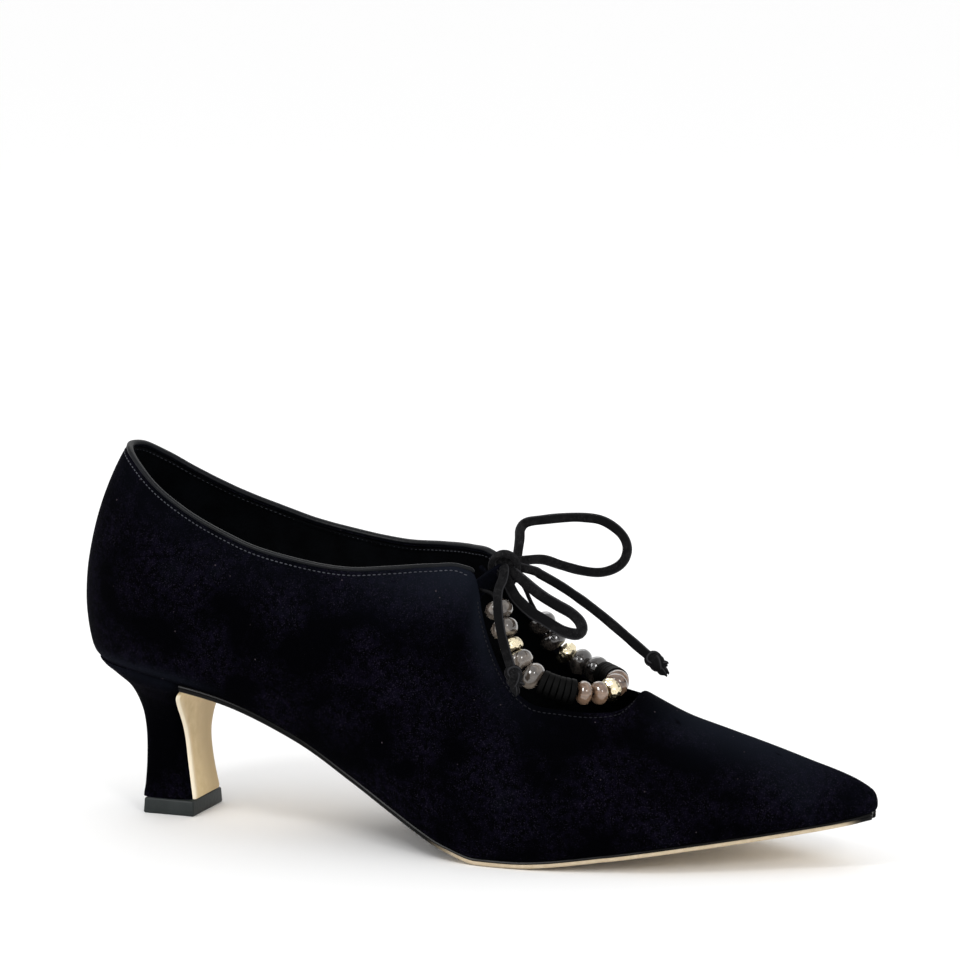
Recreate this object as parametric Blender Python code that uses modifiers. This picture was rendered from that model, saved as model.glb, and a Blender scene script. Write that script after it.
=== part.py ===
# Lace up heel: a pointed kitten heel with a beaded tear-drop opening and a thin lace tied in a bow.
# Metres, +Z up. +X runs to the toe, -Y is the outer side of a right shoe, and the floor is z = 0.
# The origin is the middle of the heel tip's underside.
import math

import bmesh
import bpy
import numpy as np
from mathutils import Vector

# Driving dimensions of the last
shoe_length = 0.250          # back datum of the counter to the toe tip
ball_width = 0.076           # across the feather line at the ball
heel_height = 0.0443         # seat above the ball, both at the feather line
toe_spring = 0.0140          # toe tip above the ball, at the feather line
back_height = 0.0642         # seat to the top of the counter
toe_skew = 0.0040            # the toe tip's shift toward the inner side
heel_inset = 0.0328          # back datum to the middle of the heel tip

# Walls, sheets and clearances
upper_wall = 0.0018
sole_thickness = 0.0022
sole_inset = 0.0005
sole_edge_round = 0.0007
insole_thickness = 0.0020
insole_clearance = 0.0006
insole_edge_round = 0.0003
insole_end = 0.955           # where the insole stops, and the outsole (shoe length)
outsole_end = 0.9965
toe_thinning = 0.5           # share of the wall lost at the toe tip, over the last part of the length
thinning_start = 0.93
thinning_run = 0.05
piece_gap = 0.0003

# Heel block
tip_thickness = 0.0047
tip_length = 0.0172
tip_width = 0.0200
tip_flare = 0.0003
tip_edge = 0.0003
breast_thickness = 0.0013
breast_margin = 0.0009       # suede seen beside the cover on each side
breast_edge = 0.0004
flare_start = 0.8            # height share above which that margin grows
flare_margin = 1.6           # and how much it grows by, in margins
breast_x = 0.0103            # front of the heel block at the seat
heel_depth = 0.0350          # seat end of the block, back to front
heel_width = 0.0500          # seat end of the block, side to side

# Trim
binding_radius = 0.0008
strap_width = 0.0054
strap_thickness = 0.0012
strap_clearance = 0.0014     # between the strap's fixed ends and the wall's inside
strap_anchors = ((0.955, 0.91, 0.0), (0.996, 0.91, 0.7))   # way to the throat corner, rib height, extra clearance
knot_forward = 0.0050        # bow knot ahead of the throat corners
knot_drop = 0.0002           # and below them
bow_reach = 0.0400           # knot to the farthest lace end, along the shoe
bead_cord_radius = 0.0006
cord_on_strap = 4            # step of the strap where the bead cord is fixed
bead_radius = 0.0040
bead_length = 0.0052
small_bead_radius = 0.0034
small_bead_length = 0.0037
disc_radius = 0.0036
disc_length = 0.0011
disc_gap = 0.0006            # discs fan out where the string bends
bead_bore = 0.0010
bead_rim = 0.0008            # flat round the bore
bead_gap = 0.0007            # between the large beads
fan_gap = 0.0012             # between the small beads, which fan round the toe end
lace_radius = 0.0014
knot_ring_radius = 0.0054
knot_lace_radius = 0.0016
lace_point_spacing = 0.0055
lace_gap = 0.0004            # between the ring and each lace's end face
lace_stub = 0.0018           # straight start of each lace
end_knot_radius = 0.0036

# Mesh fineness
rib_spacing = 0.0056
rib_steps = 8
sole_steps = 3
heel_arc_steps = 18
breast_steps = 10
binding_steps = 50
strap_steps = 16
bead_sides = 10
disc_sides = 12

half_ball = ball_width / 2
feather_base = sole_thickness + piece_gap

# Rows run from the heel's back to the toe tip. Columns, as shares of the named sizes:
# foot x (length), foot half width outer and inner (half ball), heel share and toe share of the foot's height,
# top x (length), top half width (half ball), rise (back height), then the rib's handles:
# foot out (half ball), foot up (rise), top out (half ball), top down (rise), and how far the top follows the foot.
last_rows = np.array([
    # fx     outer  inner  heel   toe    tx     tw     rise   f_out  f_up   t_out  t_down turn
    (0.030,  0.000, 0.000, 1.000, 0.000, 0.066, 0.000, 0.978, 0.165, 0.283, 0.305, 0.320, 1.0),
    (0.039,  0.235, 0.235, 0.999, 0.000, 0.074, 0.163, 0.966, 0.175, 0.280, 0.300, 0.320, 1.0),
    (0.065,  0.445, 0.445, 0.993, 0.000, 0.097, 0.310, 0.911, 0.205, 0.280, 0.290, 0.330, 1.0),
    (0.105,  0.600, 0.598, 0.980, 0.000, 0.128, 0.430, 0.840, 0.195, 0.290, 0.275, 0.340, 1.0),
    (0.163,  0.672, 0.662, 0.935, 0.000, 0.178, 0.542, 0.771, 0.190, 0.290, 0.230, 0.350, 1.0),
    (0.240,  0.668, 0.645, 0.840, 0.000, 0.248, 0.642, 0.734, 0.197, 0.285, 0.185, 0.345, 1.0),
    (0.320,  0.653, 0.610, 0.650, 0.000, 0.320, 0.674, 0.800, 0.224, 0.280, 0.170, 0.315, 1.0),
    (0.392,  0.710, 0.655, 0.426, 0.000, 0.388, 0.653, 0.925, 0.210, 0.275, 0.210, 0.290, 1.0),
    (0.448,  0.816, 0.760, 0.262, 0.000, 0.440, 0.571, 1.050, 0.158, 0.285, 0.263, 0.270, 1.0),
    (0.492,  0.905, 0.860, 0.140, 0.000, 0.482, 0.458, 1.144, 0.118, 0.288, 0.303, 0.235, 1.0),
    (0.520,  0.947, 0.905, 0.070, 0.000, 0.512, 0.358, 1.188, 0.100, 0.290, 0.329, 0.210, 1.0),
    (0.534,  0.963, 0.925, 0.045, 0.000, 0.527, 0.321, 1.180, 0.092, 0.295, 0.342, 0.205, 1.0),
    (0.544,  0.971, 0.935, 0.026, 0.000, 0.532, 0.326, 1.130, 0.080, 0.257, 0.368, 0.223, 1.0),
    (0.554,  0.979, 0.945, 0.010, 0.000, 0.540, 0.403, 1.062, 0.068, 0.257, 0.329, 0.242, 0.9),
    (0.568,  0.987, 0.960, 0.000, 0.000, 0.556, 0.505, 0.935, 0.053, 0.258, 0.290, 0.267, 0.8),
    (0.588,  0.995, 0.980, 0.000, 0.000, 0.582, 0.603, 0.780, 0.040, 0.270, 0.250, 0.300, 0.7),
    (0.616,  0.995, 0.995, 0.000, 0.007, 0.612, 0.624, 0.679, 0.032, 0.280, 0.232, 0.303, 0.6),
    (0.648,  0.979, 0.995, 0.000, 0.050, 0.648, 0.550, 0.637, 0.029, 0.293, 0.258, 0.281, 0.5),
    (0.676,  0.953, 0.975, 0.000, 0.114, 0.684, 0.445, 0.606, 0.029, 0.303, 0.284, 0.252, 0.4),
    (0.696,  0.926, 0.950, 0.000, 0.164, 0.705, 0.329, 0.598, 0.029, 0.312, 0.316, 0.214, 0.3),
    (0.712,  0.905, 0.930, 0.000, 0.207, 0.714, 0.190, 0.615, 0.032, 0.334, 0.342, 0.130, 0.1),
    (0.728,  0.882, 0.905, 0.000, 0.243, 0.716, 0.000, 0.634, 0.037, 0.369, 0.363, 0.000, 0.0),
    (0.768,  0.826, 0.840, 0.000, 0.357, 0.760, 0.000, 0.528, 0.037, 0.383, 0.337, 0.000, 0.0),
    (0.824,  0.684, 0.684, 0.000, 0.500, 0.816, 0.000, 0.431, 0.032, 0.397, 0.290, 0.000, 0.0),
    (0.880,  0.505, 0.495, 0.000, 0.636, 0.872, 0.000, 0.340, 0.026, 0.390, 0.224, 0.000, 0.0),
    (0.928,  0.342, 0.332, 0.000, 0.764, 0.920, 0.000, 0.255, 0.024, 0.396, 0.166, 0.000, 0.0),
    (0.964,  0.216, 0.210, 0.000, 0.871, 0.956, 0.000, 0.190, 0.021, 0.410, 0.118, 0.000, 0.0),
    (0.986,  0.126, 0.124, 0.000, 0.950, 0.976, 0.000, 0.143, 0.018, 0.435, 0.079, 0.000, 0.0),
    (0.995,  0.063, 0.063, 0.000, 0.986, 0.984, 0.000, 0.118, 0.018, 0.470, 0.068, 0.040, 0.35),
    (0.998,  0.000, 0.000, 0.000, 1.000, 0.987, 0.000, 0.106, 0.026, 0.500, 0.068, 0.120, 1.0),
])
throat_row = 11              # row of the throat corner
ridge_row = 21               # row where the opening ends and the ridge starts

# Heel block rows, tip to seat. Columns: height share, back x and front x (heel depth), width (heel width),
# and how square the outline is
heel_rows = np.array([
    # share  back    front  width  square
    (0.000, -0.257,  0.234, 0.392, 7.0),
    (0.180, -0.249,  0.200, 0.364, 6.5),
    (0.360, -0.246,  0.174, 0.356, 5.5),
    (0.530, -0.257,  0.163, 0.396, 4.5),
    (0.650, -0.277,  0.166, 0.496, 3.6),
    (0.770, -0.326,  0.183, 0.660, 2.9),
    (0.870, -0.409,  0.223, 0.832, 2.5),
    (0.945, -0.526,  0.263, 0.912, 2.3),
    (1.000, -0.709,  0.286, 1.000, 2.3),
])

# Bead string along the opening's edge. Columns: share of the way from the throat to the ridge,
# then the string's offset into the opening and above the edge (bead radius)
bead_rows = np.array([
    # share  in     up
    (0.070, 1.120, 0.000),
    (0.167, 1.250, 0.300),
    (0.250, 1.420, 0.580),
    (0.333, 1.480, 0.880),
    (0.417, 1.360, 1.170),
    (0.500, 1.150, 1.380),
    (0.583, 1.000, 1.380),
    (0.667, 1.020, 1.200),
    (0.750, 1.200, 1.020),
    (0.833, 1.460, 0.850),
    (0.917, 1.600, 0.700),
    (1.000, 1.600, 0.600),
])
# Pieces on the string from the middle of the toe end back to the throat, on each side
outer_beads = ["brown", "gold", "brown", "brown", "discs", "grey", "grey", "gold", "grey", "grey"]
inner_beads = ["brown", "discs", "grey", "grey", "gold", "grey", "grey"]
discs_in_stack = 6

# Where each lace meets the knot ring, in degrees: round the ring from +X to +Z, then from straight out to +Y
lace_meets = {
    "lace_far_loop": ((80, 25), (40, 30)),
    "lace_right_end": ((8, -5),),
    "lace_near_loop": ((-28, -40), (-70, -45)),
    "lace_left_end": ((105, -62),),
}

# Lace routes between those places: x, y, z from the knot (bow reach)
far_loop_route = [
    (0.050, 0.090, 0.205), (0.060, 0.120, 0.280), (0.110, 0.160, 0.328), (0.225, 0.213, 0.347),
    (0.350, 0.250, 0.362), (0.478, 0.288, 0.368), (0.618, 0.325, 0.353), (0.725, 0.337, 0.302),
    (0.805, 0.325, 0.235), (0.842, 0.300, 0.155), (0.828, 0.262, 0.072), (0.765, 0.225, 0.015),
    (0.663, 0.188, -0.013), (0.527, 0.155, 0.000), (0.388, 0.125, 0.035), (0.250, 0.095, 0.072),
]
right_end_route = [
    (0.220, 0.040, -0.005), (0.260, 0.050, -0.028), (0.395, 0.088, -0.107), (0.543, 0.112, -0.202),
    (0.688, 0.137, -0.308), (0.840, 0.150, -0.425), (0.995, 0.150, -0.543), (1.055, 0.150, -0.588),
]
near_loop_route = [
    (0.268, -0.155, -0.068), (0.378, -0.200, -0.110), (0.500, -0.238, -0.148),
    (0.608, -0.275, -0.177), (0.683, -0.312, -0.210), (0.722, -0.340, -0.250), (0.728, -0.365, -0.295),
    (0.690, -0.380, -0.322), (0.600, -0.365, -0.318), (0.507, -0.340, -0.293), (0.420, -0.312, -0.265),
    (0.313, -0.275, -0.233), (0.215, -0.225, -0.190), (0.135, -0.175, -0.145),
]
left_end_route = [
    (0.040, -0.110, 0.015), (0.059, -0.197, -0.036), (0.077, -0.325, -0.086), (0.108, -0.426, -0.141),
    (0.144, -0.513, -0.208), (0.179, -0.574, -0.286), (0.212, -0.615, -0.364), (0.246, -0.643, -0.437),
    (0.276, -0.660, -0.511), (0.300, -0.668, -0.572),
]


def clear_scene():
    for item in list(bpy.data.objects):
        bpy.data.objects.remove(item, do_unlink=True)


def make_material(name, color, roughness, metallic=0.0):
    material = bpy.data.materials.new(name)
    material.use_nodes = True
    shader = material.node_tree.nodes["Principled BSDF"]
    shader.inputs["Base Color"].default_value = (*color, 1.0)
    shader.inputs["Roughness"].default_value = roughness
    shader.inputs["Metallic"].default_value = metallic
    material.diffuse_color = (*color, 1.0)
    return material


def add_mesh(name, points, faces, material, collection):
    mesh = bpy.data.meshes.new(name)
    mesh.from_pydata([tuple(p) for p in points], [], faces)
    piece = bpy.data.objects.new(name, mesh)
    collection.objects.link(piece)
    clean = bmesh.new()
    clean.from_mesh(mesh)
    bmesh.ops.remove_doubles(clean, verts=clean.verts, dist=0.00001)
    bmesh.ops.dissolve_degenerate(clean, edges=clean.edges, dist=0.000001)
    bmesh.ops.recalc_face_normals(clean, faces=clean.faces)
    clean.to_mesh(mesh)
    clean.free()
    mesh.materials.append(material)
    mesh.shade_smooth()
    mesh.set_sharp_from_angle(angle=math.radians(40))
    return piece


# Skin over a row of closed rings, each with the same number of points, with a flat cap at both ends
def ring_loft(name, rings, material, collection):
    count = len(rings[0])
    points = [p for ring in rings for p in ring]
    faces = []
    for i in range(len(rings) - 1):
        for j in range(count):
            k = (j + 1) % count
            faces.append((i * count + j, i * count + k, (i + 1) * count + k, (i + 1) * count + j))
    faces.append(tuple(range(count))[::-1])
    last = (len(rings) - 1) * count
    faces.append(tuple(last + j for j in range(count)))
    return add_mesh(name, points, faces, material, collection)


# Smooth column through uneven knots, with one-sided slopes at the break knots
def smooth_column(knots, values, where, breaks=()):
    gaps = np.diff(knots)
    steps = np.diff(values) / gaps
    left = np.empty(len(knots))
    right = np.empty(len(knots))
    for i in range(len(knots)):
        before = steps[max(i - 1, 0)]
        after = steps[min(i, len(steps) - 1)]
        if i in breaks:
            left[i] = before
            right[i] = after
            continue
        inner = 0.0
        if before * after > 0:
            wide = gaps[max(i - 1, 0)]
            near = gaps[min(i, len(gaps) - 1)]
            inner = (before * near + after * wide) / (near + wide)
            limit = 3 * min(abs(before), abs(after))
            inner = math.copysign(min(abs(inner), limit), inner)
        left[i] = inner
        right[i] = inner
    i = int(np.clip(np.searchsorted(knots, where) - 1, 0, len(gaps) - 1))
    t = (where - knots[i]) / gaps[i]
    rise = values[i + 1] - values[i]
    a = right[i] * gaps[i] - rise
    b = rise - left[i + 1] * gaps[i]
    return values[i] + t * rise + t * (1 - t) * ((1 - t) * a + t * b)


def row_knots():
    foot = np.stack([last_rows[:, 0] * shoe_length, last_rows[:, 1] * half_ball], axis=1)
    top = np.stack([last_rows[:, 5] * shoe_length, last_rows[:, 6] * half_ball, last_rows[:, 7] * back_height], axis=1)
    foot_run = np.linalg.norm(np.diff(foot, axis=0), axis=1)
    top_run = np.linalg.norm(np.diff(top, axis=0), axis=1)
    return np.concatenate([[0.0], np.cumsum((foot_run + top_run) / 2)])


def middle_y(x):
    share = np.clip(((x + heel_inset) / shoe_length - 0.55) / 0.45, 0, 1)
    return toe_skew * share * share * (3 - 2 * share)


# The loop of ribs runs from the toe tip along the outer side (negative), round the heel (0) and back to the toe
def build_loop():
    knots = row_knots()
    count = len(knots)
    columns = []
    for side in (-1, 1):
        half = last_rows[:, 1] if side < 0 else last_rows[:, 2]
        columns.append(np.stack([
            last_rows[:, 0] * shoe_length - heel_inset,
            side * half * half_ball,
            feather_base + last_rows[:, 3] * heel_height + last_rows[:, 4] * toe_spring,
            last_rows[:, 5] * shoe_length - heel_inset,
            side * last_rows[:, 6] * half_ball,
            last_rows[:, 7] * back_height,
            last_rows[:, 8] * half_ball,
            last_rows[:, 9],
            last_rows[:, 10] * half_ball,
            last_rows[:, 11],
            last_rows[:, 12],
        ], axis=1))
    around = np.concatenate([-knots[::-1], knots[1:]])
    values = np.concatenate([columns[0][::-1], columns[1][1:]])
    total = 2 * knots[-1]
    around = np.concatenate([around[-3:-1] - total, around, around[1:3] + total])
    values = np.concatenate([values[-3:-1], values, values[1:3]])
    breaks = (2 + count - 1 - ridge_row, 2 + count - 1 + ridge_row)
    return knots, around, values, breaks


row_places, loop_places, loop_values, loop_breaks = build_loop()
loop_end = row_places[-1]
throat_place = row_places[throat_row]
ridge_place = row_places[ridge_row]


def loop_station(place):
    out = np.empty(11)
    for k in range(11):
        breaks = loop_breaks if k in (3, 4, 5) else ()
        out[k] = smooth_column(loop_places, loop_values[:, k], place, breaks)
    return out


def foot_point(place, station=None):
    s = loop_station(place) if station is None else station
    return np.array([s[0], s[1] + middle_y(s[0]), max(s[2], feather_base)])


# Outward direction of the foot line, level with the floor
def foot_outward(place):
    step = 0.0004
    ahead = foot_point(place + step)
    behind = foot_point(place - step)
    along = (ahead - behind)[:2]
    along = along / np.linalg.norm(along)
    return np.array([along[1], -along[0], 0.0]) * -1


# Four control points of the rib at a place on the loop
def rib_cage(place):
    s = loop_station(place)
    foot = foot_point(place, s)
    outward = foot_outward(place)
    rise = s[5]
    on_ridge = abs(place) >= ridge_place
    top_y = middle_y(s[3]) + (0.0 if on_ridge else s[4])
    top = np.array([s[3], top_y, foot[2] + rise])
    side = np.array([0.0, -1.0 if place < 0 else 1.0, 0.0])
    lean = outward * s[10] + side * (1 - s[10])
    lean = lean / np.linalg.norm(lean)
    up = np.array([0.0, 0.0, 1.0])
    return np.array([foot, foot + outward * s[6] + up * s[7] * rise, top + lean * s[8] - up * s[9] * rise, top])


def rib_point(place, v, cage=None):
    c = rib_cage(place) if cage is None else cage
    weights = np.array([(1 - v) ** 3, 3 * v * (1 - v) ** 2, 3 * v * v * (1 - v), v ** 3])
    return weights @ c


# Outward normal of the upper's outer surface
def rib_normal(place, v):
    step = 0.0003
    around = rib_point(place + step, v) - rib_point(place - step, v)
    upward = rib_point(place, min(v + 0.01, 1)) - rib_point(place, v - 0.01)
    normal = np.cross(upward, around)
    return normal / np.linalg.norm(normal)


def loop_samples():
    places = [0.0]
    for i in range(len(row_places) - 1):
        span = row_places[i + 1] - row_places[i]
        parts = max(1, round(span / rib_spacing))
        places += [row_places[i] + span * (k + 1) / parts for k in range(parts)]
    return [-p for p in places[:0:-1]] + places[:-1]


# Upper: the outer surface as a grid of ribs, given its wall inwards
def build_upper(material, collection):
    places = loop_samples()
    points = []
    for place in places:
        cage = rib_cage(place)
        points += [rib_point(place, j / rib_steps, cage) for j in range(rib_steps + 1)]
    row = rib_steps + 1
    faces = []
    for i in range(len(places)):
        n = (i + 1) % len(places)
        for j in range(rib_steps):
            faces.append((i * row + j, n * row + j, n * row + j + 1, i * row + j + 1))
    mesh = bpy.data.meshes.new("upper")
    mesh.from_pydata([tuple(p) for p in points], [], faces)
    clean = bmesh.new()
    clean.from_mesh(mesh)
    bmesh.ops.remove_doubles(clean, verts=clean.verts, dist=0.00002)
    bmesh.ops.recalc_face_normals(clean, faces=clean.faces)
    reference = max(clean.faces, key=lambda f: f.calc_center_median().z)
    middle = Vector((0.03, 0.0, 0.04))
    if (reference.calc_center_median() - middle).dot(reference.normal) < 0:
        bmesh.ops.reverse_faces(clean, faces=clean.faces)
    clean.to_mesh(mesh)
    clean.free()
    mesh.materials.append(material)
    mesh.shade_smooth()
    piece = bpy.data.objects.new("upper", mesh)
    collection.objects.link(piece)
    shell = piece.modifiers.new("wall", "SOLIDIFY")
    shell.thickness = upper_wall
    shell.offset = -1.0
    shell.use_rim = True
    thin = piece.vertex_groups.new(name="wall")
    for vertex in mesh.vertices:
        share = np.clip(((vertex.co.x + heel_inset) / shoe_length - thinning_start) / thinning_run, 0, 1)
        thin.add([vertex.index], 1.0 - toe_thinning * float(share), "REPLACE")
    shell.vertex_group = "wall"
    return piece


# Closed ring across the shoe under the foot line, between two places at the same row on each side
def sheet_ring(place, inset, low, high, edge_round):
    outer = foot_point(-place) - foot_outward(-place) * inset
    inner = foot_point(place) - foot_outward(place) * inset
    shares = np.linspace(0, 1, sole_steps + 1)
    top = [outer + (inner - outer) * t for t in shares]
    across = inner - outer
    width = np.linalg.norm(across)
    pull = min(edge_round, width * 0.2) / max(width, 1e-9)
    bottom_shares = pull + shares * (1 - 2 * pull)
    bottom = [outer + across * t for t in bottom_shares]
    up = np.array([0.0, 0.0, 1.0])
    ring = [p + up * high for p in top]
    ring.append(inner + up * (low + edge_round))
    ring += [p + up * low for p in bottom[::-1]]
    ring.append(outer + up * (low + edge_round))
    return ring


def place_at_foot_x(x):
    low = 0.0
    high = loop_end
    for _ in range(40):
        half = (low + high) / 2
        if foot_point(half)[0] < x:
            low = half
        else:
            high = half
    return (low + high) / 2


def sheet_places(start, end):
    inside = [p for p in loop_samples() if start + 0.001 < p < end - 0.001]
    return [start] + inside + [end]


# Outsole: a thin sheet under the foot line from the heel breast to the toe tip
def build_outsole(material, collection):
    start = place_at_foot_x(breast_x + piece_gap)
    end = place_at_foot_x(outsole_end * shoe_length - heel_inset)
    low = -piece_gap - sole_thickness
    rings = [sheet_ring(p, sole_inset, low, -piece_gap, sole_edge_round) for p in sheet_places(start, end)]
    return ring_loft("outsole", rings, material, collection)


# Insole: a sheet inside the upper's wall, standing just above the outsole and the heel seat
def build_insole(material, collection):
    inset = upper_wall + insole_clearance
    start = place_at_foot_x(foot_point(0.0)[0] + inset + piece_gap)
    end = place_at_foot_x(insole_end * shoe_length - heel_inset)
    rings = [sheet_ring(p, inset, 0.0, insole_thickness, insole_edge_round) for p in sheet_places(start, end)]
    return ring_loft("insole", rings, material, collection)


def seat_height(x):
    return foot_point(place_at_foot_x(max(x, foot_point(0.0)[0] + 0.0001)))[2]


# Heel block at a height share: back x, front x, half width, squareness
def heel_row(share):
    back, front, width, square = [smooth_column(heel_rows[:, 0], heel_rows[:, k], share) for k in range(1, 5)]
    return back * heel_depth, front * heel_depth, width * heel_width / 2, square


def heel_ring(share):
    back, front, half, square = heel_row(share)
    power = 2 / square
    ring = []
    for k in range(heel_arc_steps + 1):
        angle = -math.pi / 2 + math.pi * k / heel_arc_steps
        y = math.copysign(abs(math.sin(angle)) ** power, math.sin(angle)) * half
        x = front - (front - back) * abs(math.cos(angle)) ** power
        ring.append([x, y])
    ring.append([front, 0.0])
    floor = tip_thickness + piece_gap
    points = []
    for x, y in ring:
        top = seat_height(x) - piece_gap
        points.append(np.array([x, y + middle_y(x), floor + (top - floor) * share]))
    return points


# Heel: a waisted block, boxy at the tip and following the seat's outline at the top
def build_heel(material, collection):
    shares = heel_rows[:, 0]
    levels = np.unique(np.concatenate([shares, (shares[1:] + shares[:-1]) / 2]))
    return ring_loft("heel", [heel_ring(share) for share in levels], material, collection)


# Breast cover: a thin leather flap down the heel's front, from under the outsole to the tip
def build_breast_cover(material, collection):
    floor = tip_thickness + piece_gap
    seat = seat_height(breast_x) - piece_gap
    top = seat - sole_thickness - piece_gap * 2
    rings = []
    for step in range(breast_steps + 1):
        z = floor + (top - floor) * step / breast_steps
        share = (z - floor) / (seat - floor)
        back, front, half, square = heel_row(share)
        flare = max(0.0, (share - flare_start) / (1 - flare_start))
        half -= breast_margin * (1 + flare_margin * flare * flare)
        front += piece_gap
        face = front + breast_thickness
        edge = breast_edge
        rings.append([
            np.array([front, -half, z]), np.array([face - edge, -half, z]), np.array([face, edge - half, z]),
            np.array([face, 0.0, z]),
            np.array([face, half - edge, z]), np.array([face - edge, half, z]), np.array([front, half, z]),
        ])
    return ring_loft("breast_cover", rings, material, collection)


# Heel tip: a hard square-cornered block that meets the floor
def build_heel_tip(material, collection):
    bpy.ops.mesh.primitive_cube_add(size=1, location=(0, 0, tip_thickness / 2))
    piece = bpy.context.active_object
    piece.name = "heel_tip"
    for vertex in piece.data.vertices:
        flare = tip_flare if vertex.co.z < 0 else 0.0
        side_x = math.copysign(1, vertex.co.x)
        side_y = math.copysign(1, vertex.co.y)
        x = side_x * (tip_length / 2 + flare)
        y = side_y * (tip_width / 2 + flare)
        vertex.co = Vector((x, y, vertex.co.z * tip_thickness))
    piece.data.materials.append(material)
    edges = piece.modifiers.new("edges", "BEVEL")
    edges.width = tip_edge
    edges.segments = 1
    move_to(piece, collection)
    return piece


def move_to(piece, collection):
    for other in piece.users_collection:
        other.objects.unlink(piece)
    collection.objects.link(piece)


# Poly tube with filled caps
def add_tube(name, points, radius, material, collection):
    curve = bpy.data.curves.new(name, "CURVE")
    curve.dimensions = "3D"
    curve.bevel_depth = radius
    curve.bevel_resolution = 2
    curve.use_fill_caps = True
    spline = curve.splines.new("POLY")
    spline.points.add(len(points) - 1)
    for slot, point in zip(spline.points, points):
        slot.co = (*point, 1.0)
    curve.materials.append(material)
    piece = bpy.data.objects.new(name, curve)
    collection.objects.link(piece)
    return piece


# Evenly spaced points on a smooth curve through the route's own points
def smooth_route(route, spacing=0.0, count=0):
    raw = np.array(route, dtype=float)
    knots = np.concatenate([[0.0], np.cumsum(np.linalg.norm(np.diff(raw, axis=0), axis=1))])
    padded = np.vstack([2 * raw[0] - raw[1], raw, 2 * raw[-1] - raw[-2]])
    dense = []
    for i in range(len(raw) - 1):
        p0, p1, p2, p3 = padded[i:i + 4]
        for t in np.linspace(0, 1, 12, endpoint=False):
            dense.append(0.5 * (2 * p1 + (p2 - p0) * t + (2 * p0 - 5 * p1 + 4 * p2 - p3) * t * t
                                + (3 * p1 - p0 - 3 * p2 + p3) * t ** 3))
    dense.append(raw[-1])
    dense = np.array(dense)
    run = np.concatenate([[0.0], np.cumsum(np.linalg.norm(np.diff(dense, axis=0), axis=1))])
    parts = count if count else max(2, round(run[-1] / spacing))
    marks = np.linspace(0, run[-1], parts + 1)
    return np.stack([np.interp(marks, run, dense[:, k]) for k in range(3)], axis=1), run[-1]


# Collar binding: a rolled edge that stands on the wall's rim from one throat corner round the back to the other
def build_binding(material, collection):
    lift = binding_radius + piece_gap
    points = []
    for k in range(binding_steps + 1):
        place = -throat_place + 2 * throat_place * k / binding_steps
        normal = rib_normal(place, 1.0)
        top = rib_point(place, 1.0)
        upward = top - rib_point(place, 0.97)
        upward = upward / np.linalg.norm(upward)
        points.append(top - normal * upper_wall / 2 + upward * lift)
    return add_tube("collar_binding", points, binding_radius, material, collection)


def knot_center():
    throat = rib_point(throat_place, 1.0)
    return np.array([throat[0] + knot_forward, 0.0, throat[2] - knot_drop])


# Throat strap's middle line, with its half height and half thickness directions
def strap_frames():
    knot = knot_center()
    half_path = []
    for share, v, extra in strap_anchors:
        place = throat_place * share
        depth = upper_wall + strap_clearance * (1 + extra) + strap_thickness / 2
        half_path.append(rib_point(-place, v) - rib_normal(-place, v) * depth)
    wall_up = rib_point(-throat_place, 1.0) - rib_point(-throat_place, 0.9)
    wall_up = wall_up / np.linalg.norm(wall_up)
    half_path.append(half_path[-1] * 0.42 + knot * 0.58)
    mirrored = [p * np.array([1, -1, 1]) for p in half_path[::-1]]
    path, _ = smooth_route(half_path + [knot] + mirrored, count=strap_steps)
    front_up = np.array([0.25, 0.0, 1.0])
    frames = []
    for i, point in enumerate(path):
        along = path[min(i + 1, strap_steps)] - path[max(i - 1, 0)]
        along = along / np.linalg.norm(along)
        side = min(1.0, abs(point[1]) / abs(half_path[1][1]))
        edge_up = wall_up * np.array([1, 1 if point[1] < 0 else -1, 1])
        upward = edge_up * side * side + front_up * (1 - side * side)
        upward = upward - along * (upward @ along)
        upward = upward / np.linalg.norm(upward) * strap_width / 2
        out = np.cross(along, upward)
        out = out / np.linalg.norm(out) * strap_thickness / 2
        frames.append((point, upward, out))
    return frames


# Throat strap: a flat band fixed inside both throat corners and bowed forward between them
def build_strap(material, collection):
    rings = [[p + up + out, p - up + out, p - up - out, p + up - out] for p, up, out in strap_frames()]
    return ring_loft("throat_strap", rings, material, collection)


# Where the bead string passes a place on the opening's edge
def string_point(side, share, inward, up):
    place = side * (throat_place + (ridge_place - throat_place) * share)
    edge = rib_point(place, 1.0)
    toward = np.array([-1.0, 0.0, 0.0])
    if share < 1:
        step = 0.0003
        along = rib_point(place + step, 1.0) - rib_point(place - step, 1.0)
        toward = np.array([along[1], -along[0], 0.0])
        toward = toward / np.linalg.norm(toward)
    return edge + toward * inward * bead_radius + np.array([0.0, 0.0, up * bead_radius])


# Whole bead string, outer side to inner side, as dense points with its length
def bead_string():
    outer = [string_point(-1, *row) for row in bead_rows]
    inner = [string_point(1, *row) for row in bead_rows[-2::-1]]
    route = np.array(outer + inner)
    for _ in range(3):
        route[1:-1] = (route[:-2] + 2 * route[1:-1] + route[2:]) / 4
    frames = strap_frames()
    ends = []
    for point, upward, out in (frames[cord_on_strap], frames[strap_steps - cord_on_strap]):
        ends.append(point + out * (1 + piece_gap / np.linalg.norm(out)))
    return smooth_route([ends[0], *route, ends[1]], 0.0005)


def on_string(dense, length, run):
    marks = np.linspace(0, length, len(dense))
    point = np.array([np.interp(run, marks, dense[:, k]) for k in range(3)])
    ahead = np.array([np.interp(run + 0.0008, marks, dense[:, k]) for k in range(3)])
    behind = np.array([np.interp(run - 0.0008, marks, dense[:, k]) for k in range(3)])
    along = ahead - behind
    return point, along / np.linalg.norm(along)


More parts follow.
